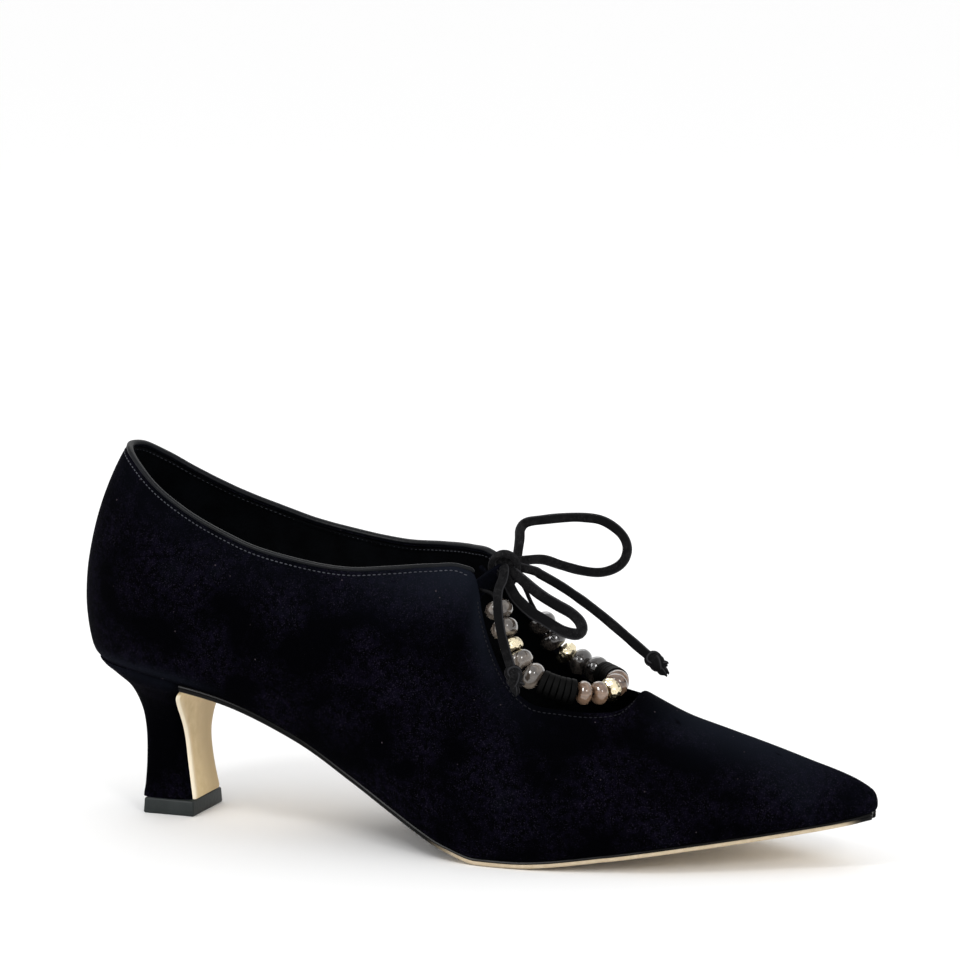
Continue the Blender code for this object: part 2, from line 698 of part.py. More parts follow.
# Turned ring around a bore: the profile runs down its outer side and up the bore
def add_bead(name, profile, place, along, sides, material, collection):
    mesh = bpy.data.meshes.new(name)
    edges = [(i, (i + 1) % len(profile)) for i in range(len(profile))]
    mesh.from_pydata([(r, 0.0, z) for r, z in profile], edges, [])
    mesh.materials.append(material)
    piece = bpy.data.objects.new(name, mesh)
    collection.objects.link(piece)
    turn = piece.modifiers.new("turn", "SCREW")
    turn.steps = sides
    turn.render_steps = sides
    turn.use_merge_vertices = True
    turn.merge_threshold = 0.00001
    turn.use_smooth_shade = True
    piece.location = Vector(place)
    piece.rotation_euler = Vector(along).to_track_quat("Z", "Y").to_euler()
    return piece


# Rounded barrel with a flat ring round the bore at both ends
def bead_profile(radius, length):
    flat = bead_bore + bead_rim
    profile = []
    for k in range(5):
        angle = math.pi / 2 - math.pi * k / 4
        profile.append((flat + (radius - flat) * math.cos(angle) ** 0.7, length / 2 * math.sin(angle)))
    return profile + [(bead_bore, -length / 2 * 0.95), (bead_bore, length / 2 * 0.95)]


def disc_profile():
    half = disc_length / 2
    return [(disc_radius, half), (disc_radius, -half), (bead_bore, -half), (bead_bore, half)]


def build_beads(materials, collection):
    dense, length = bead_string()
    sizes = {"brown": (small_bead_radius, small_bead_length), "gold": (small_bead_radius, small_bead_length),
             "grey": (bead_radius, bead_length)}
    number = 0
    stack = 0
    for side, kinds in ((-1, outer_beads), (1, inner_beads)):
        run = 0.0
        run += small_bead_length / 2 + fan_gap if side > 0 else -small_bead_length / 2
        for kind in kinds:
            if kind == "discs":
                stack += 1
                for k in range(discs_in_stack):
                    middle = length / 2 + side * (run + disc_length / 2)
                    place, along = on_string(dense, length, middle)
                    add_bead("disc_%d_%d" % (stack, k + 1), disc_profile(), place, along, disc_sides,
                             materials["discs"], collection)
                    run += disc_length + disc_gap
                continue
            number += 1
            radius, size = sizes[kind]
            middle = length / 2 + side * (run + size / 2)
            place, along = on_string(dense, length, middle)
            add_bead("bead_%s_%02d" % (kind, number), bead_profile(radius, size), place, along, bead_sides,
                     materials[kind], collection)
            run += size + (fan_gap if kind in ("brown", "gold") else bead_gap)
    return dense


def build_bead_cord(material, collection):
    dense, _ = bead_string()
    points = dense[::9]
    return add_tube("bead_cord", points, bead_cord_radius, material, collection)


# Point just clear of the knot ring, where a lace's end face meets it
def ring_place(knot, around, aside):
    around = math.radians(around)
    aside = math.radians(aside)
    outward = np.array([math.cos(around), 0.0, math.sin(around)])
    lean = outward * math.cos(aside) + np.array([0.0, 1.0, 0.0]) * math.sin(aside)
    return knot + outward * knot_ring_radius + lean * (knot_lace_radius + lace_gap), lean


# Lace: the bow's knot is a ring round the strap; loops and ends start at it
def build_lace(material, collection):
    knot = knot_center()
    bpy.ops.mesh.primitive_torus_add(major_radius=knot_ring_radius, minor_radius=knot_lace_radius,
                                     major_segments=16, minor_segments=6, location=tuple(knot),
                                     rotation=(math.pi / 2, 0, 0))
    ring = bpy.context.active_object
    ring.name = "lace_knot"
    ring.data.materials.append(material)
    move_to(ring, collection)
    routes = {"lace_far_loop": far_loop_route, "lace_near_loop": near_loop_route,
              "lace_right_end": right_end_route, "lace_left_end": left_end_route}
    for name, route in routes.items():
        points = [knot + np.array(p) * bow_reach for p in route]
        meets = [ring_place(knot, *turns) for turns in lace_meets[name]]
        stubs = [meet + lean * lace_stub for meet, lean in meets]
        points, _ = smooth_route([stubs[0], *points, *stubs[1:]], lace_point_spacing)
        points = [meets[0][0], *points, *[meet for meet, lean in meets[1:]]]
        add_tube(name, points, lace_radius, material, collection)
    for name, route in (("end_knot_right", right_end_route), ("end_knot_left", left_end_route)):
        tip = knot + np.array(route[-1]) * bow_reach
        along = np.array(route[-1]) - np.array(route[-2])
        along = along / np.linalg.norm(along)
        center = tip + along * (end_knot_radius + piece_gap)
        bpy.ops.mesh.primitive_uv_sphere_add(segments=10, ring_count=7, radius=end_knot_radius,
                                             location=tuple(center))
        ball = bpy.context.active_object
        ball.rotation_euler = Vector(along).to_track_quat("Z", "Y").to_euler()
        ball.name = name
        ball.data.materials.append(material)
        move_to(ball, collection)


def main():
    clear_scene()
    collection = bpy.data.collections.new("lace_up_heel")
    bpy.context.scene.collection.children.link(collection)
    suede = make_material("suede", (0.012, 0.012, 0.016), 0.9)
    pale_leather = make_material("pale_leather", (0.53, 0.40, 0.24), 0.6)
    insole_leather = make_material("insole_leather", (0.02, 0.02, 0.025), 0.6)
    binding_leather = make_material("binding_leather", (0.015, 0.016, 0.02), 0.4)
    tip_rubber = make_material("tip_rubber", (0.04, 0.045, 0.045), 0.5)
    lace_suede = make_material("lace_suede", (0.014, 0.014, 0.016), 0.85)
    cord_black = make_material("bead_cord", (0.01, 0.01, 0.01), 0.7)
    beads = {
        "grey": make_material("bead_grey", (0.16, 0.15, 0.14), 0.15),
        "brown": make_material("bead_brown", (0.18, 0.10, 0.07), 0.15),
        "gold": make_material("bead_gold", (0.85, 0.62, 0.38), 0.25, 1.0),
        "discs": make_material("bead_disc", (0.006, 0.006, 0.006), 0.35),
    }
    build_upper(suede, collection)
    build_insole(insole_leather, collection)
    build_outsole(pale_leather, collection)
    build_heel(suede.copy(), collection)
    build_breast_cover(pale_leather.copy(), collection)
    build_heel_tip(tip_rubber, collection)
    build_binding(binding_leather, collection)
    build_strap(suede.copy(), collection)
    build_bead_cord(cord_black, collection)
    build_beads(beads, collection)
    build_lace(lace_suede, collection)


main()
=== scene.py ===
# Lace up heel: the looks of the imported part, in the part's own frame.
# Metres. +X runs to the toe, -Y is the outer side of a right shoe, the floor is z = 0.
import math

import bmesh
import bpy
import numpy as np
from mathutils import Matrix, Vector, noise


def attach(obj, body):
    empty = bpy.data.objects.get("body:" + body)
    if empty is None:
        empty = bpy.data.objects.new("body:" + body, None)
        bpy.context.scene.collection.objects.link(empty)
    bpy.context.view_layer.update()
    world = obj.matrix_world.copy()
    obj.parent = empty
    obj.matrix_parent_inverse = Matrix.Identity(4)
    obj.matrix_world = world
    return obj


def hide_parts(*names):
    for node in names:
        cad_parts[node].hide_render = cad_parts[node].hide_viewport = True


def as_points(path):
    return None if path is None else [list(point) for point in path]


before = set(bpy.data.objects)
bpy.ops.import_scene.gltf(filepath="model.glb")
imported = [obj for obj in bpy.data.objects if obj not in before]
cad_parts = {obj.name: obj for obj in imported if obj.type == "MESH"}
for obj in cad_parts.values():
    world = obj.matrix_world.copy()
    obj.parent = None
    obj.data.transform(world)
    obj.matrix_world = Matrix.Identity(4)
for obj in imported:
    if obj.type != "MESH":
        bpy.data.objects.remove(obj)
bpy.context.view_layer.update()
print("frame loaded")

# The last's sizes and tables, the same as the part's
last = {
    "shoeLength": 0.250, "halfBall": 0.038, "heelHeight": 0.0443, "toeSpring": 0.0140, "backHeight": 0.0642,
    "toeSkew": 0.0040, "heelInset": 0.0328, "wall": 0.0018, "soleThickness": 0.0022, "gap": 0.0003,
    "toeThinning": 0.5, "thinningStart": 0.93, "thinningRun": 0.05, "throatRow": 11, "ridgeRow": 21,
}
# Columns: foot x, foot half width outer and inner, heel and toe share of height, top x, top half width, rise,
# rib handles out and up at the foot, out and down at the top, and how far the top follows the foot
lastRows = np.array([
    (0.03, 0, 0, 1, 0, 0.066, 0, 0.978, 0.165, 0.283, 0.305, 0.32, 1),
    (0.039, 0.235, 0.235, 0.999, 0, 0.074, 0.163, 0.966, 0.175, 0.28, 0.3, 0.32, 1),
    (0.065, 0.445, 0.445, 0.993, 0, 0.097, 0.31, 0.911, 0.205, 0.28, 0.29, 0.33, 1),
    (0.105, 0.6, 0.598, 0.98, 0, 0.128, 0.43, 0.84, 0.195, 0.29, 0.275, 0.34, 1),
    (0.163, 0.672, 0.662, 0.935, 0, 0.178, 0.542, 0.771, 0.19, 0.29, 0.23, 0.35, 1),
    (0.24, 0.668, 0.645, 0.84, 0, 0.248, 0.642, 0.734, 0.197, 0.285, 0.185, 0.345, 1),
    (0.32, 0.653, 0.61, 0.65, 0, 0.32, 0.674, 0.8, 0.224, 0.28, 0.17, 0.315, 1),
    (0.392, 0.71, 0.655, 0.426, 0, 0.388, 0.653, 0.925, 0.21, 0.275, 0.21, 0.29, 1),
    (0.448, 0.816, 0.76, 0.262, 0, 0.44, 0.571, 1.05, 0.158, 0.285, 0.263, 0.27, 1),
    (0.492, 0.905, 0.86, 0.14, 0, 0.482, 0.458, 1.144, 0.118, 0.288, 0.303, 0.235, 1),
    (0.52, 0.947, 0.905, 0.07, 0, 0.512, 0.358, 1.188, 0.1, 0.29, 0.329, 0.21, 1),
    (0.534, 0.963, 0.925, 0.045, 0, 0.527, 0.321, 1.18, 0.092, 0.295, 0.342, 0.205, 1),
    (0.544, 0.971, 0.935, 0.026, 0, 0.532, 0.326, 1.13, 0.08, 0.257, 0.368, 0.223, 1),
    (0.554, 0.979, 0.945, 0.01, 0, 0.54, 0.403, 1.062, 0.068, 0.257, 0.329, 0.242, 0.9),
    (0.568, 0.987, 0.96, 0, 0, 0.556, 0.505, 0.935, 0.053, 0.258, 0.29, 0.267, 0.8),
    (0.588, 0.995, 0.98, 0, 0, 0.582, 0.603, 0.78, 0.04, 0.27, 0.25, 0.3, 0.7),
    (0.616, 0.995, 0.995, 0, 0.007, 0.612, 0.624, 0.679, 0.032, 0.28, 0.232, 0.303, 0.6),
    (0.648, 0.979, 0.995, 0, 0.05, 0.648, 0.55, 0.637, 0.029, 0.293, 0.258, 0.281, 0.5),
    (0.676, 0.953, 0.975, 0, 0.114, 0.684, 0.445, 0.606, 0.029, 0.303, 0.284, 0.252, 0.4),
    (0.696, 0.926, 0.95, 0, 0.164, 0.705, 0.329, 0.598, 0.029, 0.312, 0.316, 0.214, 0.3),
    (0.712, 0.905, 0.93, 0, 0.207, 0.714, 0.19, 0.615, 0.032, 0.334, 0.342, 0.13, 0.1),
    (0.728, 0.882, 0.905, 0, 0.243, 0.716, 0, 0.634, 0.037, 0.369, 0.363, 0, 0),
    (0.768, 0.826, 0.84, 0, 0.357, 0.76, 0, 0.528, 0.037, 0.383, 0.337, 0, 0),
    (0.824, 0.684, 0.684, 0, 0.5, 0.816, 0, 0.431, 0.032, 0.397, 0.29, 0, 0),
    (0.88, 0.505, 0.495, 0, 0.636, 0.872, 0, 0.34, 0.026, 0.39, 0.224, 0, 0),
    (0.928, 0.342, 0.332, 0, 0.764, 0.92, 0, 0.255, 0.024, 0.396, 0.166, 0, 0),
    (0.964, 0.216, 0.21, 0, 0.871, 0.956, 0, 0.19, 0.021, 0.41, 0.118, 0, 0),
    (0.986, 0.126, 0.124, 0, 0.95, 0.976, 0, 0.143, 0.018, 0.435, 0.079, 0, 0),
    (0.995, 0.063, 0.063, 0, 0.986, 0.984, 0, 0.118, 0.018, 0.47, 0.068, 0.04, 0.35),
    (0.998, 0, 0, 0, 1, 0.987, 0, 0.106, 0.026, 0.5, 0.068, 0.12, 1),
])
featherBase = last["soleThickness"] + last["gap"]


def lengthShare(x):
    return (x + last["heelInset"]) / last["shoeLength"]


def xAtShare(share):
    return share * last["shoeLength"] - last["heelInset"]


def middleY(x):
    share = np.clip((lengthShare(x) - 0.55) / 0.45, 0, 1)
    return last["toeSkew"] * share * share * (3 - 2 * share)


def runsAlong(line):
    return np.concatenate([[0.0], np.cumsum(np.linalg.norm(np.diff(line, axis=0), axis=1))])


def rowKnots():
    foot = np.stack([lastRows[:, 0] * last["shoeLength"], lastRows[:, 1] * last["halfBall"]], axis=1)
    top = np.stack([lastRows[:, 5] * last["shoeLength"], lastRows[:, 6] * last["halfBall"],
                    lastRows[:, 7] * last["backHeight"]], axis=1)
    runs = [np.linalg.norm(np.diff(line, axis=0), axis=1) for line in (foot, top)]
    return np.concatenate([[0.0], np.cumsum((runs[0] + runs[1]) / 2)])


# The ribs' loop: toe tip, outer side (negative places), heel back (0), inner side, toe tip
def ribLoop():
    knots = rowKnots()
    count = len(knots)
    halves = []
    for side in (-1, 1):
        half = lastRows[:, 1] if side < 0 else lastRows[:, 2]
        halves.append(np.stack([
            xAtShare(lastRows[:, 0]),
            side * half * last["halfBall"],
            featherBase + lastRows[:, 3] * last["heelHeight"] + lastRows[:, 4] * last["toeSpring"],
            xAtShare(lastRows[:, 5]),
            side * lastRows[:, 6] * last["halfBall"],
            lastRows[:, 7] * last["backHeight"],
            lastRows[:, 8] * last["halfBall"], lastRows[:, 9],
            lastRows[:, 10] * last["halfBall"], lastRows[:, 11], lastRows[:, 12]], axis=1))
    around = np.concatenate([-knots[::-1], knots[1:]])
    values = np.concatenate([halves[0][::-1], halves[1][1:]])
    total = 2 * knots[-1]
    around = np.concatenate([around[-3:-1] - total, around, around[1:3] + total])
    values = np.concatenate([values[-3:-1], values, values[1:3]])
    breaks = (1 + count - last["ridgeRow"], 1 + count + last["ridgeRow"])
    return knots, around, values, breaks


# Slopes on both sides of each knot; columns 3 to 5 break at the ridge
def knotSlopes(knots, values, breaks):
    gaps = np.diff(knots)
    steps = np.diff(values, axis=0) / gaps[:, None]
    left = np.empty_like(values)
    right = np.empty_like(values)
    for i in range(len(knots)):
        b, a = max(i - 1, 0), min(i, len(steps) - 1)
        for k in range(values.shape[1]):
            before, after = steps[b, k], steps[a, k]
            if i in breaks and k in (3, 4, 5):
                left[i, k], right[i, k] = before, after
                continue
            slope = 0.0
            if before * after > 0:
                slope = (before * gaps[a] + after * gaps[b]) / (gaps[a] + gaps[b])
                slope = math.copysign(min(abs(slope), 3 * min(abs(before), abs(after))), slope)
            left[i, k] = right[i, k] = slope
    return left, right


rowPlaces, loopKnots, loopValues, loopBreaks = ribLoop()
loopSlopes = knotSlopes(loopKnots, loopValues, loopBreaks)
loopEnd = rowPlaces[-1]
throatPlace = rowPlaces[last["throatRow"]]
ridgePlace = rowPlaces[last["ridgeRow"]]


def curveAt(place, knots, values, slopes):
    left, right = slopes
    i = int(np.clip(np.searchsorted(knots, place) - 1, 0, len(knots) - 2))
    gap = knots[i + 1] - knots[i]
    t = (place - knots[i]) / gap
    rise = values[i + 1] - values[i]
    a = right[i] * gap - rise
    b = rise - left[i + 1] * gap
    return values[i] + t * rise + t * (1 - t) * ((1 - t) * a + t * b)


def station(place):
    return curveAt(place, loopKnots, loopValues, loopSlopes)


def footPoint(place, s=None):
    s = station(place) if s is None else s
    return np.array([s[0], s[1] + middleY(s[0]), max(s[2], featherBase)])


def footOutward(place):
    step = 0.0004
    along = (footPoint(place + step) - footPoint(place - step))[:2]
    along = along / np.linalg.norm(along)
    return np.array([-along[1], along[0], 0.0])


def ribCage(place):
    s = station(place)
    foot = footPoint(place, s)
    outward = footOutward(place)
    topY = middleY(s[3]) + (0.0 if abs(place) >= ridgePlace else s[4])
    top = np.array([s[3], topY, foot[2] + s[5]])
    lean = outward * s[10] + np.array([0.0, -1.0 if place < 0 else 1.0, 0.0]) * (1 - s[10])
    lean = lean / np.linalg.norm(lean)
    up = np.array([0.0, 0.0, 1.0])
    return np.array([foot, foot + outward * s[6] + up * s[7] * s[5], top + lean * s[8] - up * s[9] * s[5], top])


def ribPoint(place, v, cage=None):
    cage = ribCage(place) if cage is None else cage
    return np.array([(1 - v) ** 3, 3 * v * (1 - v) ** 2, 3 * v * v * (1 - v), v ** 3]) @ cage


def ribFrame(place, v):
    # outward normal, direction round the shoe and direction up the rib
    step = 0.0003
    around = ribPoint(place + step, v) - ribPoint(place - step, v)
    upward = ribPoint(place, min(v + 0.01, 1)) - ribPoint(place, min(v, 1) - 0.01)
    normal = np.cross(upward, around)
    return [d / np.linalg.norm(d) for d in (normal, around, upward)]


def searchHalves(isBelow, low, high, steps):
    for _ in range(steps):
        half = (low + high) / 2
        if isBelow(half):
            low = half
        else:
            high = half
    return (low + high) / 2


# Place on the rib that lies a given distance below its top
def belowTop(place, distance):
    cage = ribCage(place)

    def isBelow(v):
        return np.linalg.norm(ribPoint(place, v, cage) - cage[3]) > distance

    return searchHalves(isBelow, 0.5, 1.0, 20)


# Evenly spaced points on a smooth curve through the route's own points
def smoothRoute(route, spacing=0.0, count=0):
    raw = np.array(route, dtype=float)
    padded = np.vstack([2 * raw[0] - raw[1], raw, 2 * raw[-1] - raw[-2]])
    dense = []
    for i in range(len(raw) - 1):
        p0, p1, p2, p3 = padded[i:i + 4]
        for t in np.linspace(0, 1, 12, endpoint=False):
            dense.append(0.5 * (2 * p1 + (p2 - p0) * t + (2 * p0 - 5 * p1 + 4 * p2 - p3) * t * t
                                + (3 * p1 - p0 - 3 * p2 + p3) * t ** 3))
    dense = np.array(dense + [raw[-1]])
    run = runsAlong(dense)
    parts = count if count else max(2, round(run[-1] / spacing))
    marks = np.linspace(0, run[-1], parts + 1)
    return np.stack([np.interp(marks, run, dense[:, k]) for k in range(3)], axis=1), run[-1]


def unit(vector):
    return vector / np.linalg.norm(vector)


def smoothStep(value, low, high):
    t = min(max((value - low) / (high - low), 0.0), 1.0)
    return t * t * (3 - 2 * t)


def hill(offset, width):
    return math.exp(-(offset / width) ** 2)


def clearSelection():
    if bpy.context.object and bpy.context.object.mode != "OBJECT":
        bpy.ops.object.mode_set(mode="OBJECT")
    bpy.ops.object.select_all(action="DESELECT")


def pick(piece):
    clearSelection()
    piece.select_set(True)
    bpy.context.view_layer.objects.active = piece


def applyAll(piece):
    pick(piece)
    for modifier in list(piece.modifiers):
        bpy.ops.object.modifier_apply(modifier=modifier.name)


def finishPiece(piece, replaced=(), sharp=50):
    pick(piece)
    bpy.ops.object.transform_apply(location=True, rotation=True, scale=True)
    bpy.ops.object.shade_smooth_by_angle(angle=math.radians(sharp))
    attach(piece, "root")
    if replaced:
        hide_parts(*replaced)
    return piece


# A grid primitive whose points are set one by one by place(column, row)
def shapedGrid(name, columns, rows, place, material, caps=False, weld=0.000004):
    clearSelection()
    bpy.ops.mesh.primitive_grid_add(x_subdivisions=columns, y_subdivisions=rows, size=1)
    piece = bpy.context.object
    piece.name = name
    mesh = piece.data
    mesh.name = name
    flat = np.array([v.co[:2] for v in mesh.vertices])
    across = len(np.unique(np.round(flat[:, 0], 5))) - 1
    down = len(np.unique(np.round(flat[:, 1], 5))) - 1
    spots = np.empty((len(flat), 3))
    for n, (x, y) in enumerate(flat):
        spots[n] = place(round((x + 0.5) * across), round((y + 0.5) * down))
    mesh.vertices.foreach_set("co", spots.ravel())
    work = bmesh.new()
    work.from_mesh(mesh)
    bmesh.ops.remove_doubles(work, verts=work.verts, dist=weld)
    bmesh.ops.dissolve_degenerate(work, edges=work.edges, dist=weld / 4)
    if caps:
        bmesh.ops.holes_fill(work, edges=[e for e in work.edges if e.is_boundary], sides=400)
    bmesh.ops.recalc_face_normals(work, faces=work.faces)
    if caps and work.calc_volume(signed=True) < 0:
        bmesh.ops.reverse_faces(work, faces=work.faces)
    work.to_mesh(mesh)
    work.free()
    mesh.materials.append(material)
    return piece


def paint(piece, name, values):
    piece.data.attributes.new(name, "FLOAT", "POINT").data.foreach_set("value", values)


def joined(pieces, name):
    pick(pieces[0])
    for other in pieces[1:]:
        other.select_set(True)
    if len(pieces) > 1:
        bpy.ops.object.join()
    bpy.context.object.name = name
    return bpy.context.object


def roundPiece(name, segments, rings):
    clearSelection()
    bpy.ops.mesh.primitive_uv_sphere_add(segments=segments, ring_count=rings, radius=1)
    bpy.context.object.name = name
    return bpy.context.object


def turnedAlong(along):
    return Vector(along).to_track_quat("Z", "Y").to_matrix()


# Closed rings of points, skinned one to the next and capped
def ringPiece(name, rings, material):
    def place(i, j):
        return rings[i][j % len(rings[i])]

    return shapedGrid(name, len(rings) - 1, len(rings[0]), place, material, caps=True)


def alongPath(path, i):
    return unit(path[min(i + 1, len(path) - 1)] - path[max(i - 1, 0)])


def squareTo(vector, along):
    return unit(vector - along * (vector @ along))


# Rings of a closed profile carried along a path; flat[i] is the direction its width lies in
def sweptRings(path, widths, thicknesses, flat, profile):
    rings = []
    for i, point in enumerate(path):
        along = alongPath(path, i)
        wide = squareTo(flat[i], along)
        thick = np.cross(along, wide)
        rings.append([point + wide * a * widths[i] / 2 + thick * b * thicknesses[i] / 2 for a, b in profile])
    return rings


# Directions carried along a path without twist, from a first one
def carried(path, first):
    out = []
    wide = np.array(first, dtype=float)
    for i in range(len(path)):
        wide = squareTo(wide, alongPath(path, i))
        out.append(wide)
    return out


def signedPower(value, power):
    return math.copysign(abs(value) ** power, value)


def ovalProfile(count, squareness):
    turns = [2 * math.pi * k / count for k in range(count)]
    return [(signedPower(math.cos(a), 2 / squareness), signedPower(math.sin(a), 2 / squareness)) for a in turns]


def newMaterial(name, settings):
    material = bpy.data.materials.new(name)
    material.use_nodes = True
    shader = material.node_tree.nodes["Principled BSDF"]
    for key, value in settings.items():
        shader.inputs[key].default_value = value
    return material, material.node_tree, shader


def addNode(tree, kind, **values):
    node = tree.nodes.new(kind)
    for key, value in values.items():
        if key in node.inputs:
            node.inputs[key].default_value = value
        else:
            setattr(node, key, value)
    return node


def onObject(tree, kind, **values):
    # a node that reads the object's own coordinates
    node = addNode(tree, kind, **values)
    where = tree.nodes.new("ShaderNodeTexCoord")
    tree.links.new(where.outputs["Object"], node.inputs["Vector"])
    return node


def noiseOn(tree, scale, detail, rough):
    return onObject(tree, "ShaderNodeTexNoise", Scale=scale, Detail=detail, Roughness=rough).outputs["Fac"]


def painted(tree, name):
    return addNode(tree, "ShaderNodeAttribute", attribute_name=name).outputs["Fac"]


def rescaled(tree, source, ends):
    node = addNode(tree, "ShaderNodeMapRange", **ends)
    tree.links.new(source, node.inputs["Value"])
    return node.outputs["Result"]


def ramp(tree, source, stops):
    node = tree.nodes.new("ShaderNodeValToRGB")
    bar = node.color_ramp
    while len(bar.elements) < len(stops):
        bar.elements.new(0.5)
    for element, (spot, color) in zip(bar.elements, stops):
        element.position = spot
        element.color = (*color, 1.0)
    tree.links.new(source, node.inputs["Fac"])
    return node.outputs["Color"]


def bumps(tree, shader, layers):
    below = None
    for source, strength, distance in layers:
        node = addNode(tree, "ShaderNodeBump", Strength=strength, Distance=distance)
        tree.links.new(source, node.inputs["Height"])
        if below:
            tree.links.new(below, node.inputs["Normal"])
        below = node.outputs["Normal"]
    tree.links.new(below, shader.inputs["Normal"])


def mixed(tree, factor, first, second, blend="MIX"):
    node = addNode(tree, "ShaderNodeMix", data_type="RGBA", blend_type=blend)
    for slot, value in ((0, factor), (6, first), (7, second)):
        if isinstance(value, float):
            node.inputs[slot].default_value = value
        elif isinstance(value, tuple):
            node.inputs[slot].default_value = (*value, 1.0)
        else:
            tree.links.new(value, node.inputs[slot])
    return node.outputs[2]


# The brushed tone is the lighter nap used both for random brushed patches and for painted sheen.
suedeLook = {
    "deep": (0.0002, 0.0002, 0.0006), "nap": (0.0026, 0.0020, 0.0056), "brushedAndSheen": (0.0072, 0.0090, 0.0142),
    "fleck": (0.0150, 0.0125, 0.0215), "lint": (0.045, 0.036, 0.042), "sheen": 0.004, "tint": (0.55, 0.62, 0.95, 1.0),
}
laceLook = {
    "deep": (0.0050, 0.0050, 0.0054), "nap": (0.0140, 0.0138, 0.0144), "brushedAndSheen": (0.024, 0.024, 0.025),
    "fleck": (0.030, 0.029, 0.030), "lint": (0.055, 0.052, 0.052), "sheen": 0.03, "tint": (0.9, 0.9, 1.0, 1.0),
}


# The number passed second sets how far random worn patches turn to the lighter brushed tone; the painted sheen mask
# paints the same tone as a painted highlight.
def suedeMaterial(name, brushedAndSheen, look=suedeLook):
    material, tree, shader = newMaterial(name, {
        "Roughness": 0.92, "Specular IOR Level": 0.01, "Sheen Weight": look["sheen"], "Sheen Roughness": 0.45,
        "Sheen Tint": look["tint"]})
    none, full = (0, 0, 0), (1, 1, 1)
    grain = noiseOn(tree, 2600, 2.0, 0.6)
    patches = noiseOn(tree, 520, 3.0, 0.65)
    drift = noiseOn(tree, 42, 3.0, 0.6)
    base = ramp(tree, patches, [(0.42, look["deep"]), (0.66, look["nap"])])
    wide = ramp(tree, drift, [(0.42, (0.05, 0.05, 0.05)), (0.58, full)])
    tone = mixed(tree, wide, look["deep"], base)
    worn = ramp(tree, drift, [(0.60, none), (0.78, (brushedAndSheen, brushedAndSheen, brushedAndSheen))])
    tone = mixed(tree, worn, tone, look["brushedAndSheen"])
    # Painted sheen: where the painted sheen attribute is high, the lighter brushed tone is painted on as a highlight.
    tone = mixed(tree, painted(tree, "paintedSheen"), tone, look["brushedAndSheen"])
    bare = mixed(tree, 1.0, wide, (0.9, 0.9, 0.9), "MULTIPLY")
    fleck = ramp(tree, grain, [(0.57, none), (0.68, (0.8, 0.8, 0.8))])
    tone = mixed(tree, mixed(tree, 1.0, fleck, bare, "MULTIPLY"), tone, look["fleck"])
    dots = onObject(tree, "ShaderNodeTexVoronoi", Scale=210.0, Randomness=1.0)
    lint = ramp(tree, dots.outputs["Distance"], [(0.035, full), (0.06, none)])
    gate = ramp(tree, noiseOn(tree, 95, 1.0, 0.5), [(0.50, none), (0.62, full)])
    tone = mixed(tree, mixed(tree, 1.0, lint, gate, "MULTIPLY"), tone, look["lint"])
    tree.links.new(tone, shader.inputs["Base Color"])
    bumps(tree, shader, [(patches, 0.35, 0.0003), (grain, 0.45, 0.0002)])
    return material


def leatherMaterial(name, dark, light, roughness, grainScale=1500, bump=0.25, shine=0.3):
    material, tree, shader = newMaterial(name, {"Specular IOR Level": shine})
    pores = onObject(tree, "ShaderNodeTexVoronoi", Scale=grainScale, Randomness=1.0)
    cloud = noiseOn(tree, 130, 4.0, 0.6)
    tree.links.new(ramp(tree, cloud, [(0.35, dark), (0.68, light)]), shader.inputs["Base Color"])
    gloss = rescaled(tree, cloud, {"To Min": roughness - 0.08, "To Max": roughness + 0.10})
    tree.links.new(gloss, shader.inputs["Roughness"])
    bumps(tree, shader, [(pores.outputs["Distance"], bump, 0.00015)])
    return material


suede = suedeMaterial("blackSuede", 0.25)
heelSuede = suedeMaterial("heelSuede", 0.1)
liningLeather = leatherMaterial("liningLeather", (0.0008, 0.0010, 0.0016), (0.0022, 0.0030, 0.0045), 0.55, shine=0.10)
sockLeather = leatherMaterial("sockLeather", (0.002, 0.002, 0.003), (0.004, 0.004, 0.006), 0.5, shine=0.15)
bindingLeather = leatherMaterial("bindingLeather", (0.0010, 0.0014, 0.0022), (0.0028, 0.0038, 0.0058), 0.40, shine=0.12)
stitchThread = leatherMaterial("stitchThread", (0.020, 0.022, 0.030), (0.045, 0.048, 0.060), 0.6)
darkThread = leatherMaterial("darkStitchThread", (0.004, 0.004, 0.006), (0.010, 0.010, 0.014), 0.6, shine=0.1)
tipRubber = leatherMaterial("tipRubber", (0.011, 0.015, 0.015), (0.019, 0.024, 0.024), 0.5, 900, 0.3, 0.25)
print("materials made")

upperShape = {
    "spacing": 0.0016, "bodyRows": 30, "bandDepth": 0.0046, "edgeRoll": 0.0005, "footTuck": 0.0003,
    "stitchDip": 0.00022, "ripple": 0.00022, "lift": 0.0010, "collarStitch": 0.0016, "openStitch": 0.0014,
}


def upperPlaces():
    places = [0.0]
    for a, b in zip(rowPlaces[:-1], rowPlaces[1:]):
        parts = max(2, round((b - a) / upperShape["spacing"]))
        places += [a + (b - a) * (k + 1) / parts for k in range(parts)]
    return [-p for p in places[:0:-1]] + places


def ribTable(place):
    # dense rib with the distance from its top, and the shell's rows on it, foot to top
    cage = ribCage(place)
    dense = np.linspace(0, 1, 61)
    line = np.array([ribPoint(place, v, cage) for v in dense])
    run = runsAlong(line)
    length = run[-1]
    band = min(upperShape["bandDepth"], length * 0.35)
    low = min(0.0022, length * 0.12)
    marks = np.concatenate([
        low * np.array([0, 0.12, 0.3, 0.6]),
        np.linspace(low, length - band, upperShape["bodyRows"]),
        length - band * np.array([0.88, 0.77, 0.68, 0.6, 0.52, 0.44, 0.36, 0.3, 0.22, 0.14, 0.08, 0.04, 0]),
    ])
    return cage, np.interp(marks, run, dense), marks, length


